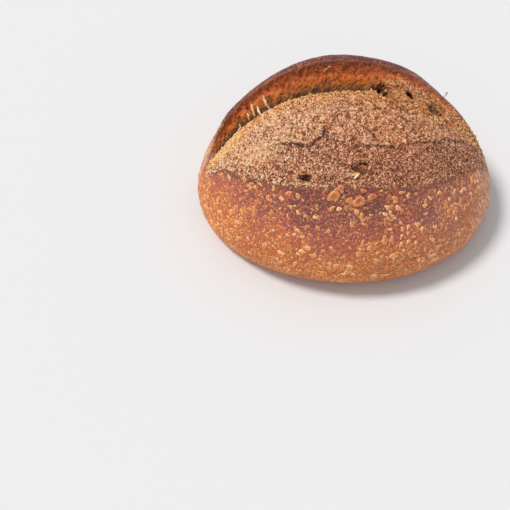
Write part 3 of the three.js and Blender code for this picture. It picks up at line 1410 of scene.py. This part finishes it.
    def _face_part(self, station: Array, opened: Array, in_cut: Array) -> tuple[Array, Array]:
        """The lip's inner face, which shows less on the right, where the cut is part closed.

        It also keeps the whole face, whether it shows or not.

        Args:
            station: The place of each point along the loaf, from -1 to 1.
            opened: How open the crevice is at each station.
            in_cut: Where along the loaf the cut is.

        Returns:
            The height up the face from its foot to the rim, and where the face shows.
        """
        over_rim = self.places - self.line("rim")
        share = (self.places - self.line("notch")) / (self.line("rim") - self.line("notch"))
        depth = np.clip(share, 0.0, 1.0)
        face = ease(-0.25, 0.05, share) * (1.0 - ease(0.0, 0.006, over_rim))
        self.inner_face = face * in_cut
        face = face * ease(0.0, 0.45, opened) * in_cut
        return depth, face * (1.0 - 0.75 * ease(0.16, 0.42, station) * (1.0 - ease(0.45, 0.9, depth)))

    def _rim_band(self, in_cut: Array) -> Array:
        """The dark toasted band over the rim.

        Args:
            in_cut: Where along the loaf the cut is.

        Returns:
            How far each point is in the band, from 0 to 1.
        """
        past_rim = self.places - self.line("rim") + 0.02 * self.ragged
        past_outer = ease(0.02, 0.13, self.places - self.line("outer"))
        return ease(-0.030, 0.016, past_rim) * (1.0 - past_outer) * in_cut

    def _baking(self, level: Array, broad: Array, band: Array) -> Array:
        """How toasted the skin is: more towards the top, most on the rim's band.

        Args:
            level: The height of each point, as a share of the loaf's.
            broad: Broad unevenness.
            band: Where the rim's band is.

        Returns:
            How toasted each point is, from 0 to 1.
        """
        front_toast = 0.35 + 0.44 * ease(0.18, 0.70, level)
        back_toast = 0.40 + 0.25 * ease(0.15, 0.85, level)
        toast = np.where(self.places < 0.3, front_toast, back_toast) + 0.12 * broad
        toast = toast + band * (0.98 - toast) * (0.92 + 0.20 * self.ragged)
        return np.clip(toast, 0.0, 1.0)

    def _belly_tones(self, station: Array, broad: Array, patchy: Array) -> tuple[Array, Array, Array]:
        """The belly's tones: golden along its upper edge and right, creamy and light at the left, with a
        painted sheen on its upper left.

        Args:
            station: The place of each point along the loaf, from -1 to 1.
            broad: Broad unevenness.
            patchy: Patchy unevenness.

        Returns:
            How light, how golden and how creamy each point is; the painted sheen adds to the lightness and
            the cream.
        """
        x, y, _ = np.moveaxis(self.points, -1, 0)
        past_edge = self.places - self.line("edge")
        upper = ease(-0.20, -0.02, past_edge) * (1.0 - ease(0.0, 0.35, past_edge))
        right, left = ease(0.0, 0.35, station), ease(-0.25, 0.55, -station)
        gold = (self.behind * (0.34 + 0.12 * right + 0.7 * upper + 0.3 * patchy)
                + (1.0 - self.behind) * (0.24 + 0.2 * patchy))
        light = (-0.03 * right * upper + 0.10 * left * self.behind * (1.0 - 0.4 * upper)
                 - 0.07 * (1.0 - self.behind) * (1.0 - left) + 0.05 * broad + 0.07 * patchy)
        # Painted sheen: a pale patch on the belly's upper left, painted in place of a reflection of the
        # light
        painted_sheen = np.exp(-(((x + 0.070) / 0.017) ** 2) - ((y + 0.017) / 0.006) ** 2)
        past_front = self.places - self.line("torn") - 0.20
        cream = 0.75 * ease(0.62, 0.84, -station) * ease(-0.10, 0.18, past_front)
        gold = np.clip(gold + 0.5 * cream, 0.0, 1.0)
        return light + 0.10 * painted_sheen, gold, np.maximum(cream, 0.7 * painted_sheen)

    def _dust(self, station: Array, level: Array, band: Array, torn: Array) -> tuple[Array, Array]:
        """Flour at the left end, and paler skin towards the right end: partly a paler crust, partly a
        painted sheen of grazing light.

        Args:
            station: The place of each point along the loaf, from -1 to 1.
            level: The height of each point, as a share of the loaf's.
            band: Where the rim's band is.
            torn: Where the crust is torn.

        Returns:
            How floury each point is, and how pale, painted sheen included.
        """
        left_end = ease(0.80, 0.93, -station)
        flour = 0.62 * left_end * ease(0.0, 0.3, self.places)
        flour = flour * (1.0 - 0.6 * band) * ease(-0.5, 0.3, self.ragged)
        # Painted sheen: paler towards the right end and on the rim's band there, painted in place of
        # grazing light on the crust
        right_end = ease(0.78, 0.96, station) * (1.0 - ease(0.1, 0.6, self.places))
        right_end = right_end * ease(0.02, 0.25, level)
        pale = (0.62 * right_end + (0.10 + 0.12 * band) * ease(0.25, 0.65, station)) * (1.0 - 0.5 * torn)
        return flour, pale

    def _painted_shade(self, opened: Array, station: Array) -> Array:
        """The painted shade in the deep places: the crevice's bottom, its pockets and the holes.

        Args:
            opened: How open the crevice is at each station.
            station: The place of each point along the loaf, from -1 to 1.

        Returns:
            How dark each point is, from 0 to 1.
        """
        bottom = np.exp(-((self.places - self.line("notch")) / 0.035) ** 2) * opened
        dark = 0.7 * bottom * (1.0 - 0.8 * ease(0.12, 0.30, station))
        for hollow in (*self.hollows, *self.pockets):
            dark = np.maximum(dark, hollow.at(self.points, self.ragged)[1])
        return np.clip(dark, 0.0, 0.95)

    def _crease_shade(self, station: Array) -> Array:
        """The painted shade in thin lines: along the seam, the torn crust's edge, the cracks and the folds.

        Args:
            station: The place of each point along the loaf, from -1 to 1.

        Returns:
            How much painted shade each point gets, from 0 to 1.
        """
        points = self.points
        seam = np.exp(-((self.seam_gap + 0.0005) / self.seam.dark_width) ** 2)
        left = 1.0 - ease(-0.020, 0.010, points[..., 0])
        dark = (0.32 + 0.40 * left) * seam * self.seam.strength(points)
        half = np.array([self.shape.half_width(float(s)) for s in self.station])[:, None]
        below = (self.places - self.line("torn")) * half + 0.0008 * self.ragged
        line = np.exp(-((below + 0.0006) / 0.0010) ** 2) * (1.0 - ease(0.90, 0.97, np.abs(station)))
        dark = np.maximum(dark, 0.55 * line)
        for groove in self.grooves:
            dark = np.maximum(dark, groove.at(points, self.ragged)[1])
        for fold in self.folds:
            dark = np.maximum(dark, fold.at(points)[1])
        return np.clip(dark, 0.0, 0.95)

    def _unevenness(self) -> Array:
        """The fine relief along the normals, which also marks the grit that the colours follow with painted
        shade in its gaps and painted light on its tips.

        Returns:
            A rise in metres for each point.
        """
        points = self.points
        fields = self.fields
        torn, face = fields[Mark.TORN], fields[Mark.FACE]
        coarse = self.grain.layers(points + 0.11, self.coarse_size, 2)
        sandy = self.grain.layers(points + 0.23, self.sandy_size, 3)
        distance, value = self.grain.crumbs(points, self.crumb_size)
        crumb = np.clip(1.0 - 1.3 * distance, -0.45, 1.0) * (0.3 + 1.1 * value)
        grit = 0.35 * coarse + 0.65 * sandy + 0.60 * crumb
        slanted = np.stack([points[..., 0] - 0.55 * points[..., 2], 0.25 * points[..., 1],
                            0.16 * (points[..., 2] + 0.55 * points[..., 0])], axis=-1)
        fibre = self.grain.layers(slanted + 0.41, self.fibre_size, 3)
        rough_face = self.grain.layers(points + 0.61, self.face_size, 3)
        wrinkle = self.grain.layers(points + 0.71, self.wrinkle_size, 3) + 0.35 * sandy
        skin = (1.0 - torn) * (1.0 - self.inner_face)
        # Painted shade and light from the grit's relief: low in its gaps, high on its tips
        fields[Mark.GRIT_SHADE] = np.clip(0.43 + (0.40 + 0.22 * self.behind) * grit, 0.0, 1.0)
        fields[Mark.STREAK] = np.clip(0.5 + 0.42 * fibre + 0.45 * rough_face + 0.3 * sandy, 0.0, 1.0)
        left = ease(-0.030, 0.050, -points[..., 0])
        coarseness = (1.0 - 0.5 * face) * (0.62 + 0.38 * self.behind) * (0.95 + 0.25 * left)
        rise = (self.grit_height * torn * coarseness * grit
                + self.fibre_height * self.inner_face * (0.8 * fibre + 1.0 * rough_face)
                + self.wrinkle_height * skin * wrinkle)
        step = self.seam.step * np.tanh(self.seam_gap / self.seam.sharpness)
        rise = rise + step * np.exp(-np.abs(self.seam_gap) / self.seam.reach) * self.seam.strength(points)
        for mark in (*self.hollows, *self.pockets, *self.grooves):
            rise = rise + mark.at(points, self.ragged)[0]
        for fold in self.folds:
            rise = rise + fold.at(points)[0]
        return rise * ease(0.0, 0.012, points[..., 2])

    def _level_sole(self) -> None:
        """Keeps the sole's columns as flat as the stone that it baked on."""
        first = self.points.shape[1] - 2 * self.columns.turn
        middle = first + self.columns.turn
        sole = self.points[:, middle - 1:middle + 1, 2]
        sole[np.abs(self.station) < self.shape.sole_end] = 0.0

    def _faces(self) -> list[list[int]]:
        """The quads that join the rings, and the fans that close both ends.

        Returns:
            The point numbers of each face, in order round it.
        """
        count, size = self.points.shape[:2]
        ring = np.arange(count - 1)[:, None] * size
        here, there = np.arange(size), (np.arange(size) + 1) % size
        quads = np.stack([ring + here, ring + there, ring + size + there, ring + size + here], axis=-1)
        left, right = count * size, count * size + 1
        last = (count - 1) * size
        caps = [[left, b, a] for a, b in zip(here, there)]
        caps += [[right, last + a, last + b] for a, b in zip(here, there)]
        return quads.reshape(-1, 4).tolist() + [[int(n) for n in cap] for cap in caps]


@dataclass(frozen=True)
class Bubble:
    """One large blister: its plan place, half length, half width, turn and how sunken its top is."""

    x: float
    y: float
    half_length: float
    half_width: float
    turn: float
    sunken: float


@dataclass
class Blisters:
    """Thin bubbles in the smooth skin, from pinheads to a few large ones."""

    crust: Crust
    count: int = 2600
    smallest: float = 0.0003
    largest: float = 0.0017
    segments: int = 10
    seed: int = 21
    own_shade: Pair = (-0.36, 0.26)
    large_shade: float = -0.20
    large: tuple[Bubble, ...] = (
        Bubble(-0.0141, -0.0562, 0.0056, 0.0034, 0.7, 0.25),
        Bubble(0.0046, -0.0608, 0.0047, 0.0041, 0.1, 0.85),
        Bubble(0.0143, -0.0569, 0.0036, 0.0025, 0.3, 0.35),
        Bubble(-0.0092, -0.0530, 0.0026, 0.0023, 0.0, 0.2),
        Bubble(0.0081, -0.0531, 0.0023, 0.0018, 0.0, 0.2),
    )

    def build(self) -> Piece:
        """Builds and dresses the blisters as one piece.

        Returns:
            The blisters' object.
        """
        rng = np.random.default_rng(self.seed)
        seats, radii, crater, turn = self._spread(rng)
        ring = np.array([1.12, 0.9, 0.62, 0.3])
        rise = np.array([-0.35, 0.42, 0.84, 0.98])
        # Painted highlight and shade: each blister's rim is lighter, and its sunken top darker
        tone = np.array([0.18, 0.80, 0.72, 0.50])
        angle = 2.0 * math.pi * np.arange(self.segments) / self.segments
        first, second = seats.sides(turn)
        wobble = 1.0 + 0.15 * np.cos(2 * angle + rng.uniform(0, 6.28, (len(radii), 1)))
        wobble = wobble + 0.12 * np.cos(3 * angle + rng.uniform(0, 6.28, (len(radii), 1)))
        height = 0.42 * radii.min(1) * rng.uniform(0.75, 1.25, len(radii))
        sunk = crater[:, None] * np.array([0.0, 0.0, 0.40, 0.9])
        lift = height[:, None] * (rise * (1.0 - sunk))
        out = ring[None, :, None] * wobble[:, None, :]
        sheet = (seats.points[:, None, None, :] + lift[:, :, None, None] * seats.normals[:, None, None, :]
                 + (out * np.cos(angle) * radii[:, 0, None, None])[..., None] * first[:, None, None, :]
                 + (out * np.sin(angle) * radii[:, 1, None, None])[..., None] * second[:, None, None, :])
        top_rise = height * (1.0 - 0.9 * crater)
        tops = seats.points + top_rise[:, None] * seats.normals
        points = np.concatenate([sheet.reshape(len(radii), -1, 3), tops[:, None]], axis=1)
        own = rng.uniform(*self.own_shade, len(radii))[:, None]
        own[self.count:] = self.large_shade
        # Painted shade: the sunken tops are darker
        shade = np.repeat(tone * (1.0 - 0.55 * sunk), self.segments, axis=1) + own
        shade = np.concatenate([shade, 0.46 - 0.30 * crater[:, None] + own], axis=1)
        piece = make_mesh("blisters", points.reshape(-1, 3), self._faces(len(radii)), {"dome": shade})
        settle(piece, BlisterFinish().material())
        return piece

    def _spread(self, rng: np.random.Generator) -> tuple[Seats, Array, Array, Array]:
        """Places the blisters: scattered small ones, then the large ones.

        Args:
            rng: The source of the random draw.

        Returns:
            Where they sit, their two radii, how sunken their tops are and how they are turned.
        """
        zones = self.crust.fields
        x, _, z = np.moveaxis(self.crust.points, -1, 0)
        skin = (1.0 - zones[Mark.TORN]) * (1.0 - self.crust.inner_face) * (1.0 - zones[Mark.FLOUR])
        lower = 0.35 + 0.65 * (1.0 - ease(0.03, 0.085, z)) + 0.5 * ease(-0.02, 0.10, x)
        clustered = ease(-0.5, 0.6, self.crust.grain.layers(self.crust.points, 0.026, 2))
        weight = skin * lower * (0.25 + clustered) * ease(0.004, 0.012, z)
        back = ease(0.93, 0.99, self.crust.places)
        weight = weight * (1.0 - ease(0.55, 0.68, self.crust.places) * (1.0 - 0.25 * back))
        weight = weight * (1.0 - 0.5 * ease(0.1, 0.6, zones[Mark.PALE_AND_SHEEN]))
        seats = self.crust.pick(weight, self.count, rng)
        seats = Seats.joined([seats] + [self.crust.seat_at(row.x, row.y) for row in self.large])
        size = self.smallest + (self.largest - self.smallest) * rng.random(self.count) ** 2.6
        radii = np.stack([size * rng.uniform(0.9, 1.8, self.count), size], axis=1)
        radii = np.concatenate([radii, [(row.half_length, row.half_width) for row in self.large]])
        crater = np.where(rng.random(self.count) < 0.5, rng.uniform(0.3, 0.9, self.count), 0.0)
        crater = np.concatenate([crater, [row.sunken for row in self.large]])
        turn = np.concatenate([rng.uniform(0.0, math.pi, self.count), [row.turn for row in self.large]])
        return seats, radii, crater, turn

    def _faces(self, count: int) -> list[list[int]]:
        """The faces of every blister: bands between its rings and a fan at its top.

        Args:
            count: How many blisters there are.

        Returns:
            The point numbers of each face, in order round it.
        """
        around = self.segments
        here = np.arange(around)
        there = (here + 1) % around
        bands = [[r * around + a, r * around + b, (r + 1) * around + b, (r + 1) * around + a]
                 for r in range(3) for a, b in zip(here, there)]
        fan = [[3 * around + a, 3 * around + b, 4 * around] for a, b in zip(here, there)]
        step = 4 * around + 1
        return [[int(n) + k * step for n in face] for k in range(count) for face in bands + fan]


@dataclass
class Bran:
    """Flakes of bran and coarse grit that stand up from the torn belly."""

    crust: Crust
    count: int = 23000
    shortest: float = 0.00040
    longest: float = 0.00100
    width_share: Pair = (0.28, 0.6)
    height_share: Pair = (0.3, 0.55)
    seed: int = 33

    def build(self) -> Piece:
        """Builds and dresses the bran as one piece.

        Returns:
            The bran's object.
        """
        rng = np.random.default_rng(self.seed)
        zones = self.crust.fields
        clustered = ease(-0.7, 0.7, self.crust.grain.layers(self.crust.points + 0.9, 0.009, 2))
        closed = ease(0.018, 0.045, self.crust.points[..., 0])
        weight = zones[Mark.TORN] * (1.0 - ease(0.05, 0.4, zones[Mark.HOLLOW_SHADE])) * (1.0 - zones[Mark.FACE])
        weight = weight * (1.0 - self.crust.inner_face * (1.0 - 0.9 * closed))
        weight = weight * (0.35 + clustered) * (0.45 + 0.55 * self.crust.behind)
        weight = weight * (0.35 + 1.3 * zones[Mark.GRIT_SHADE])
        weight = weight * (1.0 - 0.85 * ease(0.15, 0.5, zones[Mark.CREASE_SHADE]))
        seats = self.crust.pick(weight, self.count, rng)
        first, second = seats.sides(rng.uniform(0.0, math.pi, self.count))
        lean = rng.uniform(-0.5, 0.5, (2, self.count, 1))
        up = unit(seats.normals + lean[0] * first + lean[1] * second)
        longwise = unit(first - (first * up).sum(-1, keepdims=True) * up)
        aside = np.cross(up, longwise)
        left = ease(-0.030, 0.050, -seats.points[:, :1])
        size = self.shortest + (self.longest - self.shortest) * rng.random((self.count, 1)) ** 1.6
        size = size * (1.0 + 0.45 * left)
        axes = [longwise * size, aside * size * rng.uniform(*self.width_share, (self.count, 1)),
                up * size * rng.uniform(*self.height_share, (self.count, 1))]
        corners = [seats.points + sign * axis for axis in axes for sign in (1.0, -1.0)]
        points = np.stack(corners, axis=1)
        points = points + rng.uniform(-0.2, 0.2, points.shape) * size[:, None, :]
        points = points + 0.25 * axes[2][:, None, :]
        # The belly's lightness and cream, with their painted sheen, carry over to the bran
        light = zones[Mark.LIGHTNESS_AND_SHEEN].ravel()[seats.numbers] + 0.42 * zones[Mark.CREAM_AND_SHEEN].ravel()[seats.numbers]
        gold = zones[Mark.GOLD].ravel()[seats.numbers]
        contrast = 1.05 + 0.40 * np.maximum(left[:, 0], ease(0.6, 0.95, gold))
        own = (rng.beta(0.70, 0.75, self.count) - 0.48) * contrast
        # Painted light and shade: flakes on high grit are lighter, flakes in its gaps darker
        high = zones[Mark.GRIT_SHADE].ravel()[seats.numbers] - 0.48
        shade = np.clip(0.53 + own + light + 0.17 * left[:, 0] + 0.70 * high, 0.0, 1.0)
        piece = make_mesh("bran_flakes", points.reshape(-1, 3), self._faces(),
                          {"shade": np.repeat(shade, 6), "gold": np.repeat(gold, 6)})
        settle(piece, BranFinish().material())
        return piece

    def _faces(self) -> Array:
        """Eight small faces for each flake.

        Returns:
            The point numbers of each face, in order round it.
        """
        eight = np.array([[0, 2, 4], [2, 1, 4], [1, 3, 4], [3, 0, 4],
                          [2, 0, 5], [1, 2, 5], [3, 1, 5], [0, 3, 5]])
        return (eight[None] + 6 * np.arange(self.count)[:, None, None]).reshape(-1, 3)


@dataclass(frozen=True)
class Strand:
    """One plain strand: its two ends on the crust, its half width, how it arches and its shade."""

    start: tuple[float, float, float]
    end: tuple[float, float, float]
    half_width: float
    lift: float
    shade: float


@dataclass
class Strands:
    """Strands and curls of dough that dried where the cut tore open."""

    crust: Crust
    curls: int = 260
    fibres: int = 70
    sides: int = 6
    steps: int = 9
    curl_length: Pair = (0.0016, 0.0048)
    curl_lift: Pair = (0.0003, 0.0011)
    curl_radius: Pair = (0.00022, 0.00050)
    curl_shade: Pair = (0.10, 0.75)
    fibre_length: Pair = (0.003, 0.009)
    fibre_radius: Pair = (0.00016, 0.00030)
    fibre_shade: Pair = (0.05, 0.40)
    tubes: list[Array] = field(default_factory=list)
    shades: list[Array] = field(default_factory=list)
    seed: int = 47
    plain: tuple[Strand, ...] = (
        Strand((-0.0762, 0.0480, 0.0672), (-0.0732, 0.0372, 0.0622), 0.00070, 0.0012, 0.85),
        Strand((-0.0716, 0.0460, 0.0665), (-0.0672, 0.0340, 0.0640), 0.00065, 0.0022, 0.95),
        Strand((-0.0675, 0.0520, 0.0713), (-0.0610, 0.0415, 0.0665), 0.00080, 0.0012, 0.80),
        Strand((-0.0850, 0.0335, 0.0580), (-0.0846, 0.0240, 0.0570), 0.00050, 0.0016, 0.90),
        Strand((-0.0795, 0.0420, 0.0620), (-0.0775, 0.0350, 0.0600), 0.00060, 0.0010, 0.75),
        Strand((-0.0120, 0.0668, 0.0910), (-0.0185, 0.0640, 0.0870), 0.00035, 0.0005, 0.85),
    )

    def build(self) -> Piece:
        """Builds and dresses the strands as one piece.

        Returns:
            The strands' object.
        """
        rng = np.random.default_rng(self.seed)
        for strand in self.plain:
            self._lay_plain(strand, rng)
        self._scatter_curls(rng)
        self._scatter_fibres(rng)
        size = self.sides * (self.steps + 1)
        around = np.arange(self.sides)
        beside = (around + 1) % self.sides
        band = np.array([[s * self.sides + a, s * self.sides + b, (s + 1) * self.sides + b,
                          (s + 1) * self.sides + a]
                         for s in range(self.steps) for a, b in zip(around, beside)])
        faces = np.concatenate([band + k * size for k in range(len(self.tubes))])
        piece = make_mesh("dough_strands", np.concatenate(self.tubes), faces,
                          {"shade": np.concatenate(self.shades)})
        settle(piece, StrandFinish().material())
        return piece

    def _lay_plain(self, strand: Strand, rng: np.random.Generator) -> None:
        """Lays one plain strand over the crust's inner face.

        Args:
            strand: The strand's ends and size.
            rng: The source of its small bends.
        """
        t = np.linspace(0.0, 1.0, self.steps + 1)[:, None]
        line = (1.0 - t) * np.array(strand.start) + t * np.array(strand.end)
        points, normals = self.crust.nearest(line)
        spine = points + normals * (strand.lift * np.sin(math.pi * (0.12 + 0.88 * t)) - 0.0002)
        spine = spine + 0.0004 * rng.uniform(-1.0, 1.0, spine.shape) * np.sin(math.pi * t)
        taper = 0.45 + 0.9 * np.sin(math.pi * np.clip(t[:, 0], 0.05, 0.95)) ** 2
        self._add(spine, normals, strand.half_width * taper, strand.shade)

    def _scatter_curls(self, rng: np.random.Generator) -> None:
        """Scatters short curls of torn crumb over the closed right of the cut and round its pockets.

        Args:
            rng: The source of the random draw.
        """
        crust, x = self.crust, self.crust.points[..., 0]
        notch, edge = crust.line("notch"), crust.line("edge")
        in_cut = ease(-0.06, 0.0, crust.places - edge) * (1.0 - ease(0.10, 0.22, crust.places - notch))
        weight = in_cut * ease(0.012, 0.030, x) * (1.0 - ease(0.085, 0.105, x))
        weight = weight * (crust.points[..., 2] > 0.03)
        for hollow in crust.pockets:
            weight = weight + 0.6 * np.exp(-((hollow.reach(crust.points) - 1.15) / 0.15) ** 2)
        weight = weight * (1.0 - ease(0.05, 0.3, crust.fields[Mark.HOLLOW_SHADE]))
        seats = crust.pick(weight, self.curls, rng)
        first, second = seats.sides(rng.uniform(0.0, 2.0 * math.pi, self.curls))
        t = np.linspace(0.0, 1.0, self.steps + 1)[:, None]
        for k in range(self.curls):
            length, bend = rng.uniform(*self.curl_length), rng.uniform(-0.6, 0.6)
            flat = first[k] * length * (t - 0.5) + second[k] * length * bend * (t - 0.5) ** 2
            lift = rng.uniform(*self.curl_lift) * np.sin(math.pi * t) - 0.0001
            spine = seats.points[k] + flat + seats.normals[k] * lift
            radius = rng.uniform(*self.curl_radius) * self._taper(t)
            normals = np.broadcast_to(seats.normals[k], spine.shape)
            self._add(spine, normals, radius, rng.uniform(*self.curl_shade))

    def _scatter_fibres(self, rng: np.random.Generator) -> None:
        """Scatters thin fibres down the inner face, all leaning the same way.

        Args:
            rng: The source of the random draw.
        """
        crust, x = self.crust, self.crust.points[..., 0]
        height = crust.fields[Mark.HEIGHT]
        face = crust.inner_face * ease(0.12, 0.3, height) * (1.0 - ease(0.6, 0.8, height))
        weight = face * ease(-0.112, -0.10, x) * (1.0 - ease(0.02, 0.05, x)) * (crust.points[..., 2] > 0.03)
        seats = crust.pick(weight, self.fibres, rng)
        t = np.linspace(0.0, 1.0, self.steps + 1)[:, None]
        for k in range(self.fibres):
            length = rng.uniform(*self.fibre_length)
            way = np.array([0.55 + rng.uniform(-0.35, 0.35), 0.25, 1.0])
            line = seats.points[k] + unit(way) * length * (t - 0.5)
            points, normals = crust.nearest(line)
            spine = points + normals * (0.0004 * np.sin(math.pi * t) - 0.00005)
            radius = rng.uniform(*self.fibre_radius) * self._taper(t)
            self._add(spine, normals, radius, rng.uniform(*self.fibre_shade))

    def _taper(self, t: Array) -> Array:
        """How thick a curl or fibre is along its length: thin at both ends."""
        return 0.5 + np.sin(math.pi * np.clip(t[:, 0], 0.06, 0.94))

    def _add(self, spine: Array, normals: Array, radius: Array, shade: float) -> None:
        """Adds one tube along a spine.

        Args:
            spine: The points along the tube's middle.
            normals: The crust's normals there.
            radius: The tube's half width at each point.
            shade: How light it is, from 0 to 1.
        """
        along = unit(np.gradient(spine, axis=0))
        side = unit(np.cross(along, normals))
        over = np.cross(side, along)
        angle = 2.0 * math.pi * np.arange(self.sides) / self.sides
        ring = (np.cos(angle)[None, :, None] * side[:, None, :] * 1.25
                + np.sin(angle)[None, :, None] * over[:, None, :])
        self.tubes.append((spine[:, None, :] + radius[:, None, None] * ring).reshape(-1, 3))
        self.shades.append(np.full(self.sides * len(spine), shade))


@dataclass(frozen=True)
class Flap:
    """One torn flap of crust: where it is rooted, which way it points and how it stands."""

    root: tuple[float, float, float]
    way: tuple[float, float, float]
    length: float
    width: float
    lift: float
    shade: float


@dataclass
class Flaps:
    """Torn flaps that curl up round the holes and along the cut."""

    crust: Crust
    rows: int = 9
    across: int = 5
    thickness: float = 0.0006
    seed: int = 59
    plain: tuple[Flap, ...] = (
        Flap((-0.0016, -0.0440, 0.0882), (0.9, 0.15, 0.2), 0.0070, 0.0016, 0.0024, 0.70),
        Flap((0.0010, -0.0458, 0.0868), (0.8, 0.6, 0.1), 0.0058, 0.0011, 0.0022, 1.0),
        Flap((-0.0024, -0.0400, 0.0905), (0.8, -0.5, 0.1), 0.0052, 0.0012, 0.0018, 0.60),
        Flap((0.0088, -0.0400, 0.0908), (-0.5, 0.9, 0.2), 0.0050, 0.0014, 0.0018, 0.45),
        Flap((-0.0405, -0.0405, 0.0860), (0.9, -0.1, 0.1), 0.0060, 0.0010, 0.0010, 0.35),
        Flap((0.0222, 0.0480, 0.0795), (0.1, -0.5, 0.9), 0.0046, 0.0010, 0.0020, 0.95),
        Flap((0.0215, 0.0440, 0.0785), (0.6, 0.2, 0.9), 0.0052, 0.0009, 0.0016, 0.70),
        Flap((0.0370, 0.0470, 0.0840), (-0.8, 0.4, 0.5), 0.0070, 0.0010, 0.0018, 0.45),
        Flap((0.0798, 0.0502, 0.0712), (0.3, 0.9, 0.4), 0.0022, 0.0007, 0.0052, 0.45),
    )

    def build(self) -> Piece:
        """Builds and dresses the flaps as one piece.

        Returns:
            The flaps' object.
        """
        rng = np.random.default_rng(self.seed)
        leaves = [self._leaf(flap, rng) for flap in self.plain]
        size = leaves[0].shape[0]
        faces = np.concatenate([self._faces() + k * size for k in range(len(leaves))])
        shade = np.repeat([flap.shade for flap in self.plain], size)
        piece = make_mesh("crust_flaps", np.concatenate(leaves), faces, {"shade": shade})
        settle(piece, StrandFinish().material())
        return piece

    def _leaf(self, flap: Flap, rng: np.random.Generator) -> Array:
        """One flap as a thin closed leaf that bends up towards its tip.

        Args:
            flap: The flap's root, way and size.
            rng: The source of its uneven width.

        Returns:
            The leaf's points: its upper sheet, then its lower one.
        """
        points, normals = self.crust.nearest(np.array([flap.root]))
        root, normal = points[0], normals[0]
        way = np.array(flap.way)
        way = unit(way - (way @ normal) * normal)
        side = np.cross(normal, way)
        t = np.linspace(0.0, 1.0, self.rows)[:, None]
        q = np.linspace(-1.0, 1.0, self.across)[None, :]
        width = flap.width * (0.25 + 0.75 * np.sin(math.pi * np.clip(0.12 + 0.86 * t, 0.0, 1.0)))
        width = width * (1.0 + 0.15 * rng.uniform(-1.0, 1.0, t.shape))
        rise = flap.lift * np.sin(0.75 * math.pi * t) - 0.0004 + 0.35 * flap.width * q ** 2
        thick = self.thickness * (1.0 - q ** 2) * (0.4 + 0.6 * np.sin(math.pi * np.clip(t, 0.05, 0.9)))
        flat = flap.length * t
        sheets = [root + flat[..., None] * way + (width * q)[..., None] * side
                  + (rise + sign * thick)[..., None] * normal for sign in (1.0, -1.0)]
        return np.concatenate([sheet.reshape(-1, 3) for sheet in sheets])

    def _faces(self) -> Array:
        """The faces of one leaf: its two sheets, and the strips that join their ends.

        Returns:
            The point numbers of each face, in order round it.
        """
        n, m = self.rows, self.across
        top = [[r * m + c, r * m + c + 1, (r + 1) * m + c + 1, (r + 1) * m + c]
               for r in range(n - 1) for c in range(m - 1)]
        under = [[n * m + k for k in reversed(face)] for face in top]
        ends = [[c + 1, c, n * m + c, n * m + c + 1] for c in range(m - 1)]
        last = (n - 1) * m
        ends += [[last + c, last + c + 1, n * m + last + c + 1, n * m + last + c] for c in range(m - 1)]
        sides = [[r * m, (r + 1) * m, n * m + (r + 1) * m, n * m + r * m] for r in range(n - 1)]
        sides += [[(r + 1) * m + m - 1, r * m + m - 1, n * m + r * m + m - 1, n * m + (r + 1) * m + m - 1]
                  for r in range(n - 1)]
        return np.array(top + under + ends + sides)


@dataclass
class PhotoCamera:
    """A camera at the picture's height, distance and framing."""

    elevation: float = math.radians(56.0)
    distance: float = 0.829
    target: tuple[float, float, float] = (-0.0730, -0.0557, 0.0)
    lens: float = 72.28

    def build(self) -> Piece:
        """Builds the camera and makes it the scene's own.

        Returns:
            The camera.
        """
        data = bpy.data.cameras.new("camera")
        data.lens = self.lens
        data.sensor_width = 36.0
        data.clip_start, data.clip_end = 0.01, 50.0
        camera = bpy.data.objects.new("camera", data)
        back = Vector((0.0, -math.cos(self.elevation), math.sin(self.elevation)))
        camera.location = Vector(self.target) + back * self.distance
        camera.rotation_euler = (-back).to_track_quat("-Z", "Y").to_euler()
        bpy.context.scene.collection.objects.link(camera)
        bpy.context.scene.camera = camera
        return camera


@dataclass
class Studio:
    """A pale floor under a soft sky, with one broad light from behind on the left."""

    floor_size: float = 80.0
    sky: Colour = (0.95, 0.97, 1.0)
    sky_strength: float = 0.56
    light_from: tuple[float, float, float] = (-0.72, 0.12, 1.30)
    light_strength: float = 2.25
    light_spread: float = math.radians(16.0)
    light_colour: Colour = (1.0, 0.975, 0.94)

    def build(self) -> Piece:
        """Builds the floor, the sky and the light.

        Returns:
            The floor.
        """
        half = 0.5 * self.floor_size
        corners = np.array([[-half, -half, 0.0], [half, -half, 0.0], [half, half, 0.0], [-half, half, 0.0]])
        floor = make_mesh("floor", corners, np.array([[0, 1, 2, 3]]), {})
        floor.data.materials.append(FloorFinish().material())
        self._hang_light()
        world = bpy.data.worlds.new("sky")
        world.use_nodes = True
        background = world.node_tree.nodes["Background"]
        background.inputs["Color"].default_value = (*self.sky, 1.0)
        background.inputs["Strength"].default_value = self.sky_strength
        bpy.context.scene.world = world
        bpy.context.scene.view_settings.view_transform = "Standard"
        bpy.context.scene.view_settings.look = "None"
        return floor

    def _hang_light(self) -> None:
        """Hangs the broad light and turns it to the loaf."""
        data = bpy.data.lights.new("window", "SUN")
        data.energy = self.light_strength
        data.angle = self.light_spread
        data.color = self.light_colour
        light = bpy.data.objects.new("window", data)
        light.rotation_euler = (-Vector(self.light_from)).to_track_quat("-Z", "Y").to_euler()
        bpy.context.scene.collection.objects.link(light)


def main() -> None:
    """Builds the camera, the loaf and the studio, in that order."""
    logging.basicConfig(level=logging.INFO, format="%(name)s: %(message)s")
    PhotoCamera().build()
    crust = Crust(LoafShape())
    crust.build()
    Blisters(crust).build()
    Bran(crust).build()
    Strands(crust).build()
    Flaps(crust).build()
    Studio().build()


if __name__ == "__main__":
    main()
